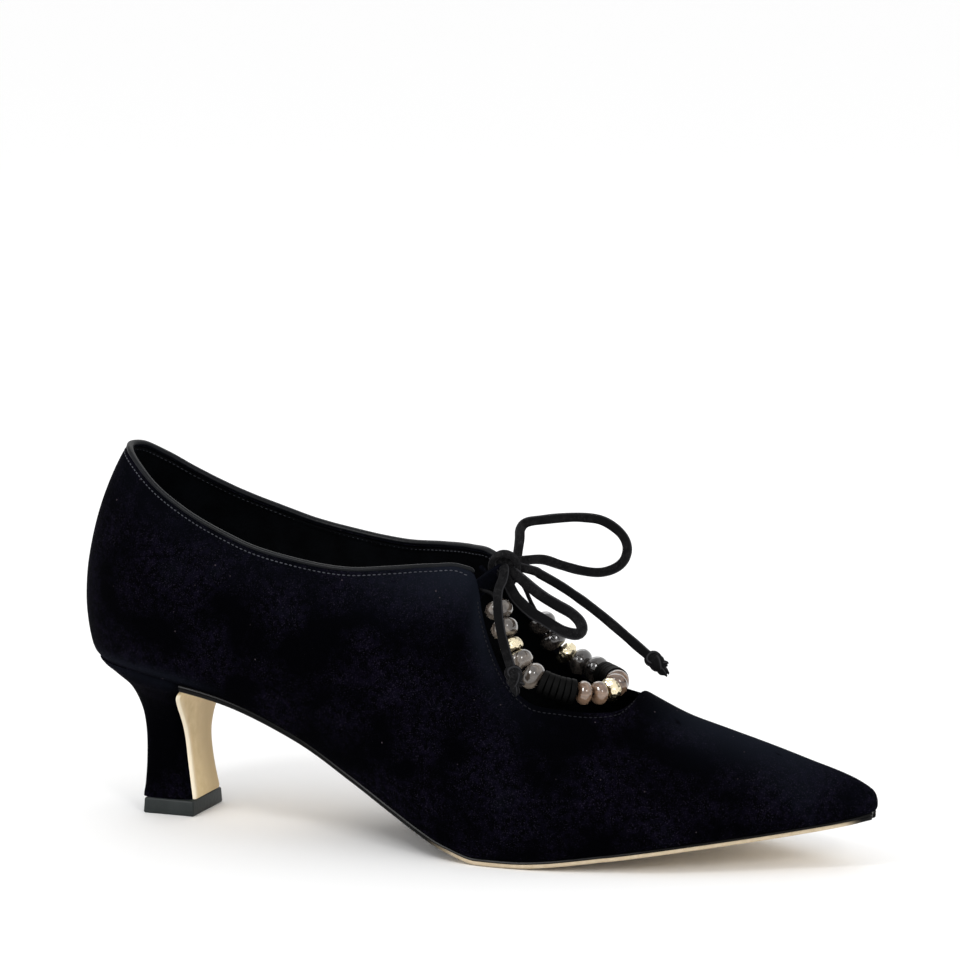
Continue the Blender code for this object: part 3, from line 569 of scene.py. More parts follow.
# The suede reaches up under the binding, above the rib's own top
def rimLift(place, fromTop):
    way = unit(ribPoint(place, 1.0) - ribPoint(place, 0.97))
    fade = 1 - smoothStep(abs(place), throatPlace - 0.004, throatPlace)
    return way * upperShape["lift"] * fade * (1 - smoothStep(fromTop, 0, 0.006))


def makeUpper():
    places = upperPlaces()
    tables = [ribTable(p) for p in places]
    rows = len(tables[0][1])
    light = {}

    def place(i, j):
        cage, shares, marks, length = tables[i]
        where = places[i]
        point = ribPoint(where, shares[j], cage)
        side = np.array([0.0, -1.0 if where < 0 else 1.0, 0.0])
        outward = unit(footOutward(where) + side * 0.001)
        fromTop = length - marks[j]
        onRidge = abs(where) >= ridgePlace - 0.0001
        inward = 0.0
        if not onRidge:
            inward += upperShape["edgeRoll"] * hill(fromTop, 0.0006)
            row = upperShape["collarStitch"] if abs(where) <= throatPlace else upperShape["openStitch"]
            inward += upperShape["stitchDip"] * hill(fromTop - row, 0.0005)
        seat = 1 - smoothStep(point[0], 0.004, 0.03)
        inward += upperShape["footTuck"] * (1 + 2.4 * seat) * hill(marks[j], 0.0006 + 0.0012 * seat)
        wave = noise.noise(Vector(point * 55)) * 0.7 + noise.noise(Vector(point * 130)) * 0.3
        fade = min(1.0, marks[j] / 0.006) * (1 - smoothStep(abs(where), loopEnd - 0.02, loopEnd))
        if onRidge:
            fade *= min(1.0, fromTop / 0.006)
        point = point + outward * (wave * upperShape["ripple"] * fade - inward)
        if abs(where) < throatPlace:
            point = point + rimLift(where, fromTop)
        # Painted sheen: lighter nap is painted near the collar top, strongest at the throat corners, in a band just
        # above the sole at the heel back and over the toe top, fading towards the toe tip.
        near = hill(fromTop, 0.011)
        corner = hill(abs(where) - throatPlace, 0.022)
        glow = 0.80 * near * corner + 0.12 * near * (abs(where) < throatPlace)
        glow += 0.5 * hill(marks[j] - 0.0022, 0.0018) * (1 - smoothStep(point[0], 0.004, 0.03))
        forward = smoothStep(abs(where), ridgePlace - 0.002, ridgePlace + 0.022)
        glow += 0.70 * hill(fromTop, 0.012) * forward
        glow *= 1 - 0.8 * smoothStep(point[0], 0.190, 0.211)
        light[tuple(np.round(point, 6))] = glow
        return point

    piece = shapedGrid("suedeUpper", len(places) - 1, rows - 1, place, suede, weld=0.00001)
    mesh = piece.data
    mesh.materials.append(liningLeather)
    heights = [face.center.z for face in mesh.polygons]
    highest = mesh.polygons[heights.index(max(heights))]
    if (highest.center - Vector((0.03, 0, 0.04))).dot(highest.normal) < 0:
        pick(piece)
        bpy.ops.object.mode_set(mode="EDIT")
        bpy.ops.mesh.select_all(action="SELECT")
        bpy.ops.mesh.flip_normals()
        bpy.ops.object.mode_set(mode="OBJECT")
    glow = [light.get(tuple(np.round(np.array(v.co), 6)), 0.0) for v in mesh.vertices]
    paint(piece, "paintedSheen", glow)
    thin = piece.vertex_groups.new(name="wall")
    for vertex in mesh.vertices:
        share = (lengthShare(vertex.co.x) - last["thinningStart"]) / last["thinningRun"]
        thin.add([vertex.index], 1.0 - last["toeThinning"] * min(max(share, 0), 1), "REPLACE")
    shell = piece.modifiers.new("wall", "SOLIDIFY")
    shell.thickness = last["wall"]
    shell.offset = -1
    shell.vertex_group = "wall"
    shell.material_offset = 1
    shell.material_offset_rim = 0
    applyAll(piece)
    return finishPiece(piece, ["upper"], 45)


makeUpper()
print("upper made")


def placeAtX(x):
    def isBelow(place):
        return footPoint(place)[0] < x

    return searchHalves(isBelow, 0.0, loopEnd, 40)


def seatHeight(x):
    return footPoint(placeAtX(max(x, footPoint(0.0)[0] + 0.0001)))[2]


# Ring across the shoe: side is a list of (inset, height), run down the outer side, across and up the inner side
def sheetPiece(name, start, end, columns, side, across, material):
    places = [start + (end - start) * k / columns for k in range(columns + 1)]
    rings = []
    for p in places:
        outer, inner = footPoint(-p), footPoint(p)
        offOuter, offInner = footOutward(-p), footOutward(p)
        width = np.linalg.norm(inner - outer)
        squeeze = min(1.0, width * 0.3 / max(max(s[0] for s in side), 1e-6))
        up = np.array([0, 0, 1.0])
        left = [outer - offOuter * s[0] * squeeze + up * s[1] for s in side]
        right = [inner - offInner * s[0] * squeeze + up * s[1] for s in side[::-1]]
        bottom = [left[-1] + (right[0] - left[-1]) * t for t in np.linspace(0, 1, across + 1)[1:-1]]
        top = [right[-1] + (left[0] - right[-1]) * t for t in np.linspace(0, 1, across + 1)[1:-1]]
        rings.append(left + bottom + right + top)
    return ringPiece(name, rings, material)


# start is a length along the shoe, both ends are shares of it
soleShape = {"columns": 150, "across": 10, "inset": 0.0003, "start": 0.0106, "end": 0.9960,
             "sockColumns": 120, "sockInset": 0.0024, "sockEnd": 0.955}


def makeSock():
    side = [(0.0012, 0.0022), (0.0004, 0.0021), (0.0, 0.0018), (0.0, 0.0006), (0.0003, 0.0001)]
    side = [(soleShape["sockInset"] + a, b) for a, b in side]
    start = placeAtX(footPoint(0.0)[0] + soleShape["sockInset"] + 0.0003)
    end = placeAtX(xAtShare(soleShape["sockEnd"]))
    piece = sheetPiece("sockLining", start, end, soleShape["sockColumns"], side, soleShape["across"], sockLeather)
    return finishPiece(piece, ["insole"], 60)


def soleMaterial():
    material, tree, shader = newMaterial("soleLeather", {"Specular IOR Level": 0.09})
    pale = painted(tree, "pale")
    cloud = noiseOn(tree, 420, 4.0, 0.6)
    tan = ramp(tree, cloud, [(0.3, (0.56, 0.45, 0.30)), (0.7, (0.70, 0.58, 0.42))])
    ink = ramp(tree, cloud, [(0.3, (0.001, 0.001, 0.001)), (0.7, (0.003, 0.003, 0.003))])
    tree.links.new(mixed(tree, pale, ink, tan), shader.inputs["Base Color"])
    tree.links.new(rescaled(tree, pale, {"To Min": 0.28, "To Max": 0.60}), shader.inputs["Roughness"])
    bumps(tree, shader, [(cloud, 0.2, 0.0002)])
    return material


def makeSole():
    side = [(0.0009, 0.0001), (0.0002, -0.0003), (0.0, -0.0007), (0.0001, -0.0009), (0.0004, -0.0010),
            (0.0002, -0.0011), (0.0002, -0.0017), (0.0004, -0.0021), (0.0007, -0.0023), (0.0012, -0.00242),
            (0.0020, -0.0025)]
    side = [(soleShape["inset"] + a, b) for a, b in side]
    start = placeAtX(soleShape["start"])
    end = placeAtX(xAtShare(soleShape["end"]))
    piece = sheetPiece("leatherSole", start, end, soleShape["columns"], side, soleShape["across"], soleMaterial())
    pale = []
    for vertex in piece.data.vertices:
        x = vertex.co.x
        below = footPoint(placeAtX(x))[2] - vertex.co.z
        share = lengthShare(x)
        along = smoothStep(share, 0.50, 0.56) * (1 - smoothStep(share, 0.965, 0.985))
        under = smoothStep(below, 0.00235, 0.00248)
        value = smoothStep(below, 0.00100, 0.00109) * max(along, under)
        pale.append(value * (0.9 if under < 0.5 else 0.75))
    paint(piece, "pale", pale)
    return finishPiece(piece, ["outsole"], 40)


makeSock()
makeSole()
print("sock and sole made")

heelShape = {"depth": 0.0350, "width": 0.0500, "tip": 0.0047, "arc": 56, "front": 14, "levels": 64,
             "seam": 0.0004, "frontDraw": 0.0008, "breastX": 0.0103}
heelRows = np.array([
    # share of the height; back, front and width as shares of the seat end; squareness
    (0, -0.257, 0.234, 0.392, 7),
    (0.18, -0.249, 0.2, 0.364, 6.5),
    (0.36, -0.246, 0.174, 0.356, 5.5),
    (0.53, -0.257, 0.163, 0.396, 4.5),
    (0.65, -0.277, 0.166, 0.496, 3.6),
    (0.77, -0.326, 0.183, 0.66, 2.9),
    (0.87, -0.409, 0.223, 0.832, 2.5),
    (0.945, -0.526, 0.263, 0.912, 2.3),
    (1, -0.709, 0.286, 1, 2.3),
])
heelSlopes = knotSlopes(heelRows[:, 0], heelRows[:, 1:], ())


def heelRow(share):
    back, front, width, square = curveAt(share, heelRows[:, 0], heelRows[:, 1:], heelSlopes)
    drawn = heelShape["frontDraw"] * (1 - smoothStep(share, 0.85, 1.0))
    return back * heelShape["depth"], front * heelShape["depth"] - drawn, width * heelShape["width"] / 2, square


def makeHeel():
    floor = heelShape["tip"] + last["gap"]
    shares = np.concatenate([[0, 0.004, 0.010], np.linspace(0.02, 0.975, heelShape["levels"]), [0.985, 0.993, 1.0]])
    rings = []
    for share in shares:
        back, front, half, square = heelRow(share)
        draw = heelShape["seam"] * hill(1 - share, 0.006)
        fill = 0.0013 * hill(share - 0.93, 0.045)
        grow = fill + 0.0002 * (1 - smoothStep(share, 0.0, 0.08)) - 0.0008 * smoothStep(share, 0.965, 1.0)
        back, half = back - grow, half + grow
        ring = []
        for k in range(heelShape["arc"] + 1):
            angle = -math.pi / 2 + math.pi * k / heelShape["arc"]
            y = signedPower(math.sin(angle), 2 / square) * (half - draw)
            x = front - (front - back - draw) * abs(math.cos(angle)) ** (2 / square)
            ring.append([x, y])
        for k in range(1, heelShape["front"]):
            ring.append([front, half - draw - 2 * (half - draw) * k / heelShape["front"]])
        ring = np.array(ring)
        for _ in range(2):
            ring = (np.roll(ring, 1, axis=0) + 2 * ring + np.roll(ring, -1, axis=0)) / 4
        points = []
        for x, y in ring:
            top = seatHeight(x) - last["gap"]
            reach = last["gap"] * (max(0.0, share - 0.97) / 0.03 - max(0.0, 0.02 - share) / 0.02)
            point = np.array([x, y + middleY(x), floor + (top - floor) * share + reach])
            point[:2] += unit(point[:2] + 1e-6) * noise.noise(Vector(point * 110)) * 0.00012
            points.append(point)
        rings.append(points)
    piece = ringPiece("suedeHeel", rings, heelSuede)
    # Painted sheen: a lighter band of nap is painted on the heel just below the seat.
    glow = [0.35 * hill(seatHeight(v.co.x) - v.co.z, 0.003) for v in piece.data.vertices]
    paint(piece, "paintedSheen", glow)
    return finishPiece(piece, ["heel"], 60)


def breastMaterial():
    material, tree, shader = newMaterial("breastLeather", {"Roughness": 0.52})
    parts = onObject(tree, "ShaderNodeSeparateXYZ")
    # Painted shade: across the panel the +Y half is painted darker and the -Y half lighter, standing in for light and
    # shade on the breast.
    turn = rescaled(tree, parts.outputs["Y"], {"From Min": -0.004, "From Max": 0.004})
    cloud = noiseOn(tree, 300, 4.0, 0.6)
    light = ramp(tree, cloud, [(0.3, (0.67, 0.50, 0.25)), (0.7, (0.77, 0.60, 0.33))])
    tone = mixed(tree, turn, light, (0.56, 0.41, 0.20))
    tone = mixed(tree, painted(tree, "cutEdge"), tone, (0.92, 0.82, 0.64))
    tree.links.new(tone, shader.inputs["Base Color"])
    bumps(tree, shader, [(cloud, 0.15, 0.0002)])
    return material


breastShape = {"steps": 40, "thickness": 0.0013, "margin": 0.0009, "flareStart": 0.8, "flare": 1.6,
               "cornerRise": 0.0022, "cornerCut": 0.0016, "soft": 0.0004}


def makeBreast():
    shape = breastShape
    floor = heelShape["tip"] + last["gap"]
    seat = seatHeight(heelShape["breastX"]) - last["gap"]
    top = seat - last["soleThickness"] - last["gap"] * 2
    rings = []
    for step in range(shape["steps"] + 1):
        z = floor + (top - floor) * step / shape["steps"]
        share = (z - floor) / (seat - floor)
        _, front, half, _ = heelRow(share)
        flare = max(0.0, (share - shape["flareStart"]) / (1 - shape["flareStart"]))
        corner = smoothStep(z, top - shape["cornerRise"], top)
        half -= shape["margin"] * (1 + shape["flare"] * flare * flare)
        half -= shape["cornerCut"] * (1 - math.sqrt(max(0.0, 1 - corner * corner)))
        soft = shape["soft"] * (hill(top - z, 0.0006) + hill(z - floor, 0.0005))
        front += last["gap"]
        face = front + shape["thickness"] - soft
        side = [(front, -half), (face - 0.0006, -half), (face - 0.0002, -half + 0.00012), (face, -half + 0.0005)]
        middle = [(face, (half - 0.0005) * t) for t in np.linspace(-1, 1, 13)[1:-1]]
        rings.append([np.array([x, y, z]) for x, y in side + middle + [(x, -y) for x, y in side[::-1]]])
    piece = ringPiece("breastLeatherPanel", rings, breastMaterial())
    edge = []
    for vertex in piece.data.vertices:
        share = (vertex.co.z - floor) / (seat - floor)
        half = heelRow(share)[2] - shape["margin"]
        edge.append(max(smoothStep(-vertex.co.y, half - 0.0007, half - 0.0003) * 0.9,
                        smoothStep(vertex.co.z, top - 0.0006, top - 0.0002) * 0.7))
    paint(piece, "cutEdge", edge)
    return finishPiece(piece, ["breast_cover"], 60)


tipShape = {"middle": 0.0005, "halfLength": 0.0080, "halfWidth": 0.0106, "flare": 0.0003, "edge": 0.0006}


def makeTip():
    clearSelection()
    bpy.ops.mesh.primitive_cube_add(size=1, location=(0, 0, heelShape["tip"] / 2))
    piece = bpy.context.object
    piece.name = "heelTopPiece"
    piece.data.materials.append(tipRubber)
    for vertex in piece.data.vertices:
        x, y, z = vertex.co
        grow = tipShape["flare"] if z < 0 else 0.0
        vertex.co = Vector((tipShape["middle"] + math.copysign(tipShape["halfLength"] + grow, x),
                            math.copysign(tipShape["halfWidth"] + grow, y), z * heelShape["tip"]))
    edges = piece.modifiers.new("edges", "BEVEL")
    edges.width = tipShape["edge"]
    edges.segments = 4
    applyAll(piece)
    return finishPiece(piece, ["heel_tip"], 50)


makeHeel()
makeBreast()
makeTip()
print("heel made")

bindingShape = {"steps": 300, "sides": 20, "width": 0.0021, "height": 0.0016, "middle": 0.0011}


def makeBinding():
    path, flats, widths, heights = [], [], [], []
    for k in range(bindingShape["steps"] + 1):
        place = -throatPlace + 2 * throatPlace * k / bindingShape["steps"]
        normal, around, upward = ribFrame(place, 1.0)
        path.append(ribPoint(place, 1.0) - normal * last["wall"] / 2 + upward * bindingShape["middle"])
        flats.append(normal)
        end = min(1.0, (bindingShape["steps"] / 2 - abs(k - bindingShape["steps"] / 2)) / 3 + 0.55)
        pinch = 1 + 0.03 * noise.noise(Vector(path[-1] * 260))
        widths.append(bindingShape["width"] * end * pinch)
        heights.append(bindingShape["height"] * end * pinch)
    rings = sweptRings(np.array(path), widths, heights, flats, ovalProfile(bindingShape["sides"], 2.2))
    piece = ringPiece("rolledBinding", rings, bindingLeather)
    return finishPiece(piece, ["collar_binding"], 60)


makeBinding()
print("binding made")

strapShape = {"width": 0.0054, "thickness": 0.0014, "steps": 48, "clearance": 0.0014}


def knotMiddle():
    throat = ribPoint(throatPlace, 1.0)
    return np.array([throat[0] + 0.0050, 0.0, throat[2] - 0.0002])


knot = knotMiddle()


def strapFrames(steps):
    half = []
    for share, v, extra in ((0.955, 0.91, 0.0), (0.996, 0.91, 0.7)):
        place = throatPlace * share
        depth = last["wall"] + strapShape["clearance"] * (1 + extra) + 0.0006
        half.append(ribPoint(-place, v) - ribFrame(-place, v)[0] * depth)
    wallUp = unit(ribPoint(-throatPlace, 1.0) - ribPoint(-throatPlace, 0.9))
    half.append(half[-1] * 0.42 + knot * 0.58)
    path, _ = smoothRoute(half + [knot] + [p * np.array([1, -1, 1]) for p in half[::-1]], count=steps)
    frames = []
    for i, point in enumerate(path):
        along = alongPath(path, i)
        side = min(1.0, abs(point[1]) / abs(half[1][1]))
        edgeUp = wallUp * np.array([1, 1 if point[1] < 0 else -1, 1])
        upward = edgeUp * side * side + np.array([0.25, 0, 1.0]) * (1 - side * side)
        upward = squareTo(upward, along)
        frames.append((point, upward, unit(np.cross(along, upward))))
    return frames


def makeStrap():
    frames = strapFrames(strapShape["steps"])
    path = np.array([f[0] for f in frames])
    count = len(path)
    rings = sweptRings(path, [strapShape["width"]] * count, [strapShape["thickness"]] * count,
                       [f[1] for f in frames], ovalProfile(28, 5.0))
    piece = ringPiece("throatStrap", rings, suede)
    # Painted sheen: the whole strap is painted with the lighter nap.
    glow = [0.25] * len(piece.data.vertices)
    paint(piece, "paintedSheen", glow)
    return finishPiece(piece, ["throat_strap"], 60)


makeStrap()

laceShape = {"width": 0.0030, "thickness": 0.0019, "reach": 0.0400, "spacing": 0.0007, "sides": 18,
             "squareness": 2 / 0.75}
# where each lace leaves the knot, and comes back into it
laceStarts = {
    "far": ((0.0030, 0.0016, 0.0020), (0.0032, 0.0012, 0.0024)), "right": ((0.0028, 0.0006, 0.0012),),
    "near": ((0.0028, -0.0014, 0.0000), (0.0012, -0.0026, -0.0018)), "left": ((0.0, -0.0012, 0.0012),),
}
laceRoutes = {
    "far": [
        (0.05, 0.09, 0.205), (0.06, 0.12, 0.28), (0.11, 0.16, 0.328), (0.225, 0.213, 0.347), (0.35, 0.25, 0.362),
        (0.478, 0.288, 0.368), (0.618, 0.325, 0.353), (0.725, 0.337, 0.302), (0.805, 0.325, 0.235),
        (0.842, 0.3, 0.155), (0.828, 0.262, 0.072), (0.765, 0.225, 0.015), (0.663, 0.188, -0.013), (0.527, 0.155, 0),
        (0.388, 0.125, 0.035), (0.25, 0.095, 0.072),
    ],
    "right": [
        (0.22, 0.04, -0.005), (0.26, 0.05, -0.028), (0.395, 0.088, -0.107), (0.543, 0.112, -0.202),
        (0.688, 0.137, -0.308), (0.84, 0.15, -0.425), (0.995, 0.15, -0.543), (1.055, 0.15, -0.588),
    ],
    "near": [
        (0.268, -0.155, -0.068), (0.378, -0.2, -0.11), (0.5, -0.238, -0.148), (0.608, -0.275, -0.177),
        (0.683, -0.312, -0.21), (0.722, -0.34, -0.25), (0.728, -0.365, -0.295), (0.69, -0.38, -0.322),
        (0.6, -0.365, -0.318), (0.507, -0.34, -0.293), (0.42, -0.312, -0.265), (0.313, -0.275, -0.233),
        (0.215, -0.225, -0.19), (0.135, -0.175, -0.145),
    ],
    "left": [
        (0.04, -0.11, 0.015), (0.059, -0.197, -0.036), (0.077, -0.325, -0.086), (0.108, -0.426, -0.141),
        (0.144, -0.513, -0.208), (0.179, -0.574, -0.286), (0.212, -0.615, -0.364), (0.246, -0.643, -0.437),
        (0.276, -0.66, -0.511), (0.3, -0.668, -0.572),
    ],
}


def laceProfile():
    # two folded layers: a groove in one narrow side, and broad sides that dip in the middle
    shape = []
    for a, b in ovalProfile(laceShape["sides"], laceShape["squareness"]):
        fold = 0.22 * hill(b, 0.22) if a < 0 else 0.0
        shape.append((a * (1 - fold), b * (1 - 0.16 * hill(a, 0.3))))
    return shape


def laceMaterial():
    material = suedeMaterial("foldedLaceSuede", 0.9, laceLook)
    tree = material.node_tree
    color = tree.nodes["Principled BSDF"].inputs["Base Color"]
    base = color.links[0].from_socket
    tree.links.new(mixed(tree, painted(tree, "rawEdge"), base, (0.036, 0.036, 0.039)), color)
    return material


foldedLace = laceMaterial()


# Width directions that keep a lace's flat side turned to the shoe's outer side
def faceOut(path):
    side = np.array([0.35, -0.92, 0.17])
    return [unit(np.cross(alongPath(path, i), side)) for i in range(len(path))]


def lacePiece(name, path, first, taperStart=1.0, taperEnd=1.0, wide=1.0):
    count = len(path)
    flats = faceOut(path) if first is None else carried(path, first)
    widths, heights = [], []
    for i in range(count):
        t = i / (count - 1)
        taper = min(1.0, taperStart + t * 8) * min(1.0, taperEnd + (1 - t) * 8)
        crush = 1 + 0.07 * noise.noise(Vector(path[i] * 210))
        widths.append(laceShape["width"] * wide * taper * crush)
        heights.append(laceShape["thickness"] * wide * taper / crush)
    rings = sweptRings(path, widths, heights, flats, laceProfile())
    piece = ringPiece(name, rings, foldedLace)
    middle = laceShape["sides"] // 2
    spots = np.array([ring[k] for ring in rings for k in (middle - 2, middle + 2)])
    edge = [0.85 if np.abs(spots - np.array(v.co)).max(axis=1).min() < 0.00001 else 0.0 for v in piece.data.vertices]
    paint(piece, "rawEdge", edge)
    return piece


def lacePath(key):
    points = [knot + np.array(p) * laceShape["reach"] for p in laceRoutes[key]]
    if key == "near":
        count = len(points) - 1
        drop = [0.0015 * math.sin(math.pi * i / count) + 0.0009 * (1 - smoothStep(i / count, 0.3, 0.6))
                for i in range(count + 1)]
        points = [p - np.array([0, 0, d]) for p, d in zip(points, drop)]
    if key == "far":
        points[0] = points[0] + np.array([0.0012, 0, 0])
        points[1] = points[1] + np.array([0.0006, 0, 0])
    ends = [knot + np.array(p) for p in laceStarts[key]]
    return smoothRoute([ends[0], *points, *ends[1:]], laceShape["spacing"])


def overhand(center, across, along, third, scale):
    path = []
    for k in range(101):
        t = 2 * math.pi * k / 100 * 0.985
        a, b = math.sin(t) + 2 * math.sin(2 * t), math.cos(t) - 2 * math.cos(2 * t)
        offset = across * a * scale[0] + along * b * scale[1] - third * math.sin(3 * t) * scale[2]
        path.append(center + offset * 0.001)
    return np.array(path)


def knotCore(center, across, along, third, size):
    core = roundPiece("knotCore", 28, 18)
    for vertex in core.data.vertices:
        x, y, z = np.array(vertex.co) * size
        lump = 1 + 0.12 * noise.noise(vertex.co * 2.1)
        vertex.co = Vector(center + (across * x + along * y + third * z) * lump)
    core.data.materials.append(foldedLace)
    return core


# loops: stretch across, along and outwards; core: its half sizes; tails: way across, along, outwards, and reach
endKnotShape = {"ahead": 0.0034, "loops": (0.76, 0.80, 0.95), "core": (0.0025, 0.0026, 0.0024),
                "tails": ((0.55, 1.0, 0.0, 0.0060), (-0.45, 1.0, 0.2, 0.0052))}


def makeEndKnot(name, tip, along, node):
    along = unit(along)
    center = tip + along * endKnotShape["ahead"]
    helper = np.array([0.0, 0.0, 1.0]) if abs(along[2]) < 0.8 else np.array([1.0, 0.0, 0.0])
    across = unit(np.cross(along, helper))
    third = np.cross(along, across)
    lump = lacePiece(name + "Lump", overhand(center, across, along, third, endKnotShape["loops"]), third, wide=1.0)
    core = knotCore(center, across, along, third, endKnotShape["core"])
    tails = []
    for a, b, c, reach in endKnotShape["tails"]:
        way = unit(across * a + along * b + third * c)
        route = [center, center + way * reach * 0.5 + third * 0.0004, center + way * reach]
        line, _ = smoothRoute(route, count=14)
        tail = lacePiece(name + "Tail", line, third, wide=0.8)
        for vertex in tail.data.vertices:
            reachHere = (np.array(vertex.co) - center) @ way
            narrow = 1 - 0.75 * smoothStep(reachHere, reach * 0.6, reach)
            axis = center + way * reachHere
            vertex.co = Vector(axis + (np.array(vertex.co) - axis) * narrow)
        tails.append(tail)
    return finishPiece(joined([lump] + tails + [core], name), [node], 60)


def makeLaces(bowKnot):
    made = {}
    for key, name, node in (("far", "farBowLoop", "lace_far_loop"), ("near", "nearBowLoop", "lace_near_loop"),
                            ("right", "rightLaceEnd", "lace_right_end"), ("left", "leftLaceEnd", "lace_left_end")):
        path, length = lacePath(key)
        piece = lacePiece(name, path, None, wide=1.12 if key == "near" else 0.96)
        made[key] = (finishPiece(piece, [node], 60), path, length)
    for key, name, node in (("right", "rightEndKnot", "end_knot_right"), ("left", "leftEndKnot", "end_knot_left")):
        path = made[key][1]
        makeEndKnot(name, path[-1], path[-1] - path[-4], node)
    for key, (piece, path, length) in made.items():
        print("lace", key, round(length, 4))
        tuple(float(c) for c in path[0])
        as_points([tuple(float(c) for c in p) for p in path[::4]] + [tuple(float(c) for c in path[-1])])


def makeKnot():
    up = np.array([0.0, 0.0, 1.0])
    outerSide = unit(np.array([0.30, -0.95, 0.0]))
    across = unit(np.cross(up, outerSide))
    wraps = overhand(knot + across * 0.0007, across, up, outerSide, (1.18, 1.32, 1.9))
    pieces = [lacePiece("knotWraps", wraps, outerSide, wide=1.02)]
    band = []
    for k in range(61):
        turn = math.radians(215 - 250 * k / 60)
        band.append(knot + across * math.cos(turn) * 0.0040 + up * (math.sin(turn) * 0.0046 + 0.0006)
                    + outerSide * (0.0012 + 0.0016 * math.sin(math.pi * k / 60)))
    pieces.append(lacePiece("knotBand", np.array(band), outerSide, 0.6, 0.6, wide=0.95))
    pieces.append(knotCore(knot, across, up, outerSide, (0.0038, 0.0046, 0.0030)))
    return finishPiece(joined(pieces, "bowKnot"), ["lace_knot"], 60)


makeLaces(makeKnot())
print("lace made")

beadShape = {"radius": 0.0040, "length": 0.0052, "smallRadius": 0.0034, "smallLength": 0.0037, "plump": 0.0006,
             "discRadius": 0.0036, "discLength": 0.0011, "discGap": 0.0006, "gap": 0.0007, "fanGap": 0.0012,
             "cord": 0.0012}
# share of the way from the throat to the ridge, then offset into the opening and above it in bead radii
beadRows = [
    (0.07, 1.12, 0),
    (0.167, 1.25, 0.3),
    (0.25, 1.42, 0.58),
    (0.333, 1.48, 0.88),
    (0.417, 1.36, 1.17),
    (0.5, 1.15, 1.38),
    (0.583, 1, 1.38),
    (0.667, 1.02, 1.2),
    (0.75, 1.2, 1.02),
    (0.833, 1.46, 0.85),
    (0.917, 1.6, 0.7),
    (1, 1.6, 0.6),
]
outerBeads = ["brown", "gold", "brown", "brown", "discs", "grey", "grey", "gold", "grey", "grey"]
innerBeads = ["brown", "discs", "grey", "grey", "gold", "grey", "grey"]


def beadString():
    def spot(side, share, inward, up):
        place = side * (throatPlace + (ridgePlace - throatPlace) * share)
        toward = np.array([-1.0, 0.0, 0.0])
        if share < 1:
            along = ribPoint(place + 0.0003, 1.0) - ribPoint(place - 0.0003, 1.0)
            toward = unit(np.array([along[1], -along[0], 0.0]))
        toeEnd = (side > 0) * smoothStep(share, 0.55, 0.8) * (1 - 0.35 * smoothStep(share, 0.95, 1.0))
        flank = (side > 0) * smoothStep(share, 0.1, 0.35) * (1 - toeEnd)
        shift = np.array([-0.0030, -0.0004, 0.0006]) * toeEnd + np.array([-0.0018, -0.0008, -0.0010]) * flank
        lift = np.array([0, 0, up * beadShape["radius"]])
        return ribPoint(place, 1.0) + shift + toward * inward * beadShape["radius"] + lift

    route = np.array([spot(-1, *row) for row in beadRows] + [spot(1, *row) for row in beadRows[-2::-1]])
    for _ in range(3):
        route[1:-1] = (route[:-2] + 2 * route[1:-1] + route[2:]) / 4
    frames = strapFrames(16)
    ends = [point + out * 0.0009 for point, upward, out in (frames[4], frames[12])]
    return smoothRoute([ends[0], *route, ends[1]], 0.0005)


def onString(dense, length, run):
    marks = np.linspace(0, length, len(dense))

    def at(mark):
        return np.array([np.interp(mark, marks, dense[:, k]) for k in range(3)])

    return at(run), unit(at(run + 0.0008) - at(run - 0.0008))


# The inner tone is painted on the lower part of each bead as a painted glow of light passing through it; the cloud
# tones are the bead's own colour.
def glassMaterial(name, tones, inner, scale, roughness, grain=(1, 1, 1)):
    material, tree, shader = newMaterial(name, {
        "Roughness": roughness, "Coat Weight": 1.0, "Coat Roughness": 0.02, "Specular IOR Level": 0.6})
    stretch = onObject(tree, "ShaderNodeMapping", Scale=grain)
    cloud = addNode(tree, "ShaderNodeTexNoise", Scale=scale, Detail=4.0, Roughness=0.6, Distortion=0.8)
    tree.links.new(stretch.outputs["Vector"], cloud.inputs["Vector"])
    stops = list(zip((0.32, 0.5, 0.7), tones))
    tone = mixed(tree, painted(tree, "paintedGlowBelow"), ramp(tree, cloud.outputs["Fac"], stops), inner)
    tree.links.new(tone, shader.inputs["Base Color"])
    bumps(tree, shader, [(cloud.outputs["Fac"], 0.05, 0.0001)])
    return material


def goldMaterial():
    material, tree, shader = newMaterial("hammeredGold", {
        "Base Color": (0.86, 0.76, 0.53, 1.0), "Metallic": 1.0, "Roughness": 0.20})
    dents = onObject(tree, "ShaderNodeTexVoronoi", Scale=1150.0, Randomness=1.0)
    bumps(tree, shader, [(dents.outputs["Distance"], 0.7, 0.0003)])
    return material


# The tone after the three cloud stops is the painted glow for the lower part of the bead.
smokyGlass = glassMaterial("smokyGlass", [(0.016, 0.013, 0.012), (0.075, 0.060, 0.049), (0.20, 0.165, 0.135)],
                           (0.30, 0.255, 0.21), 250, 0.06)
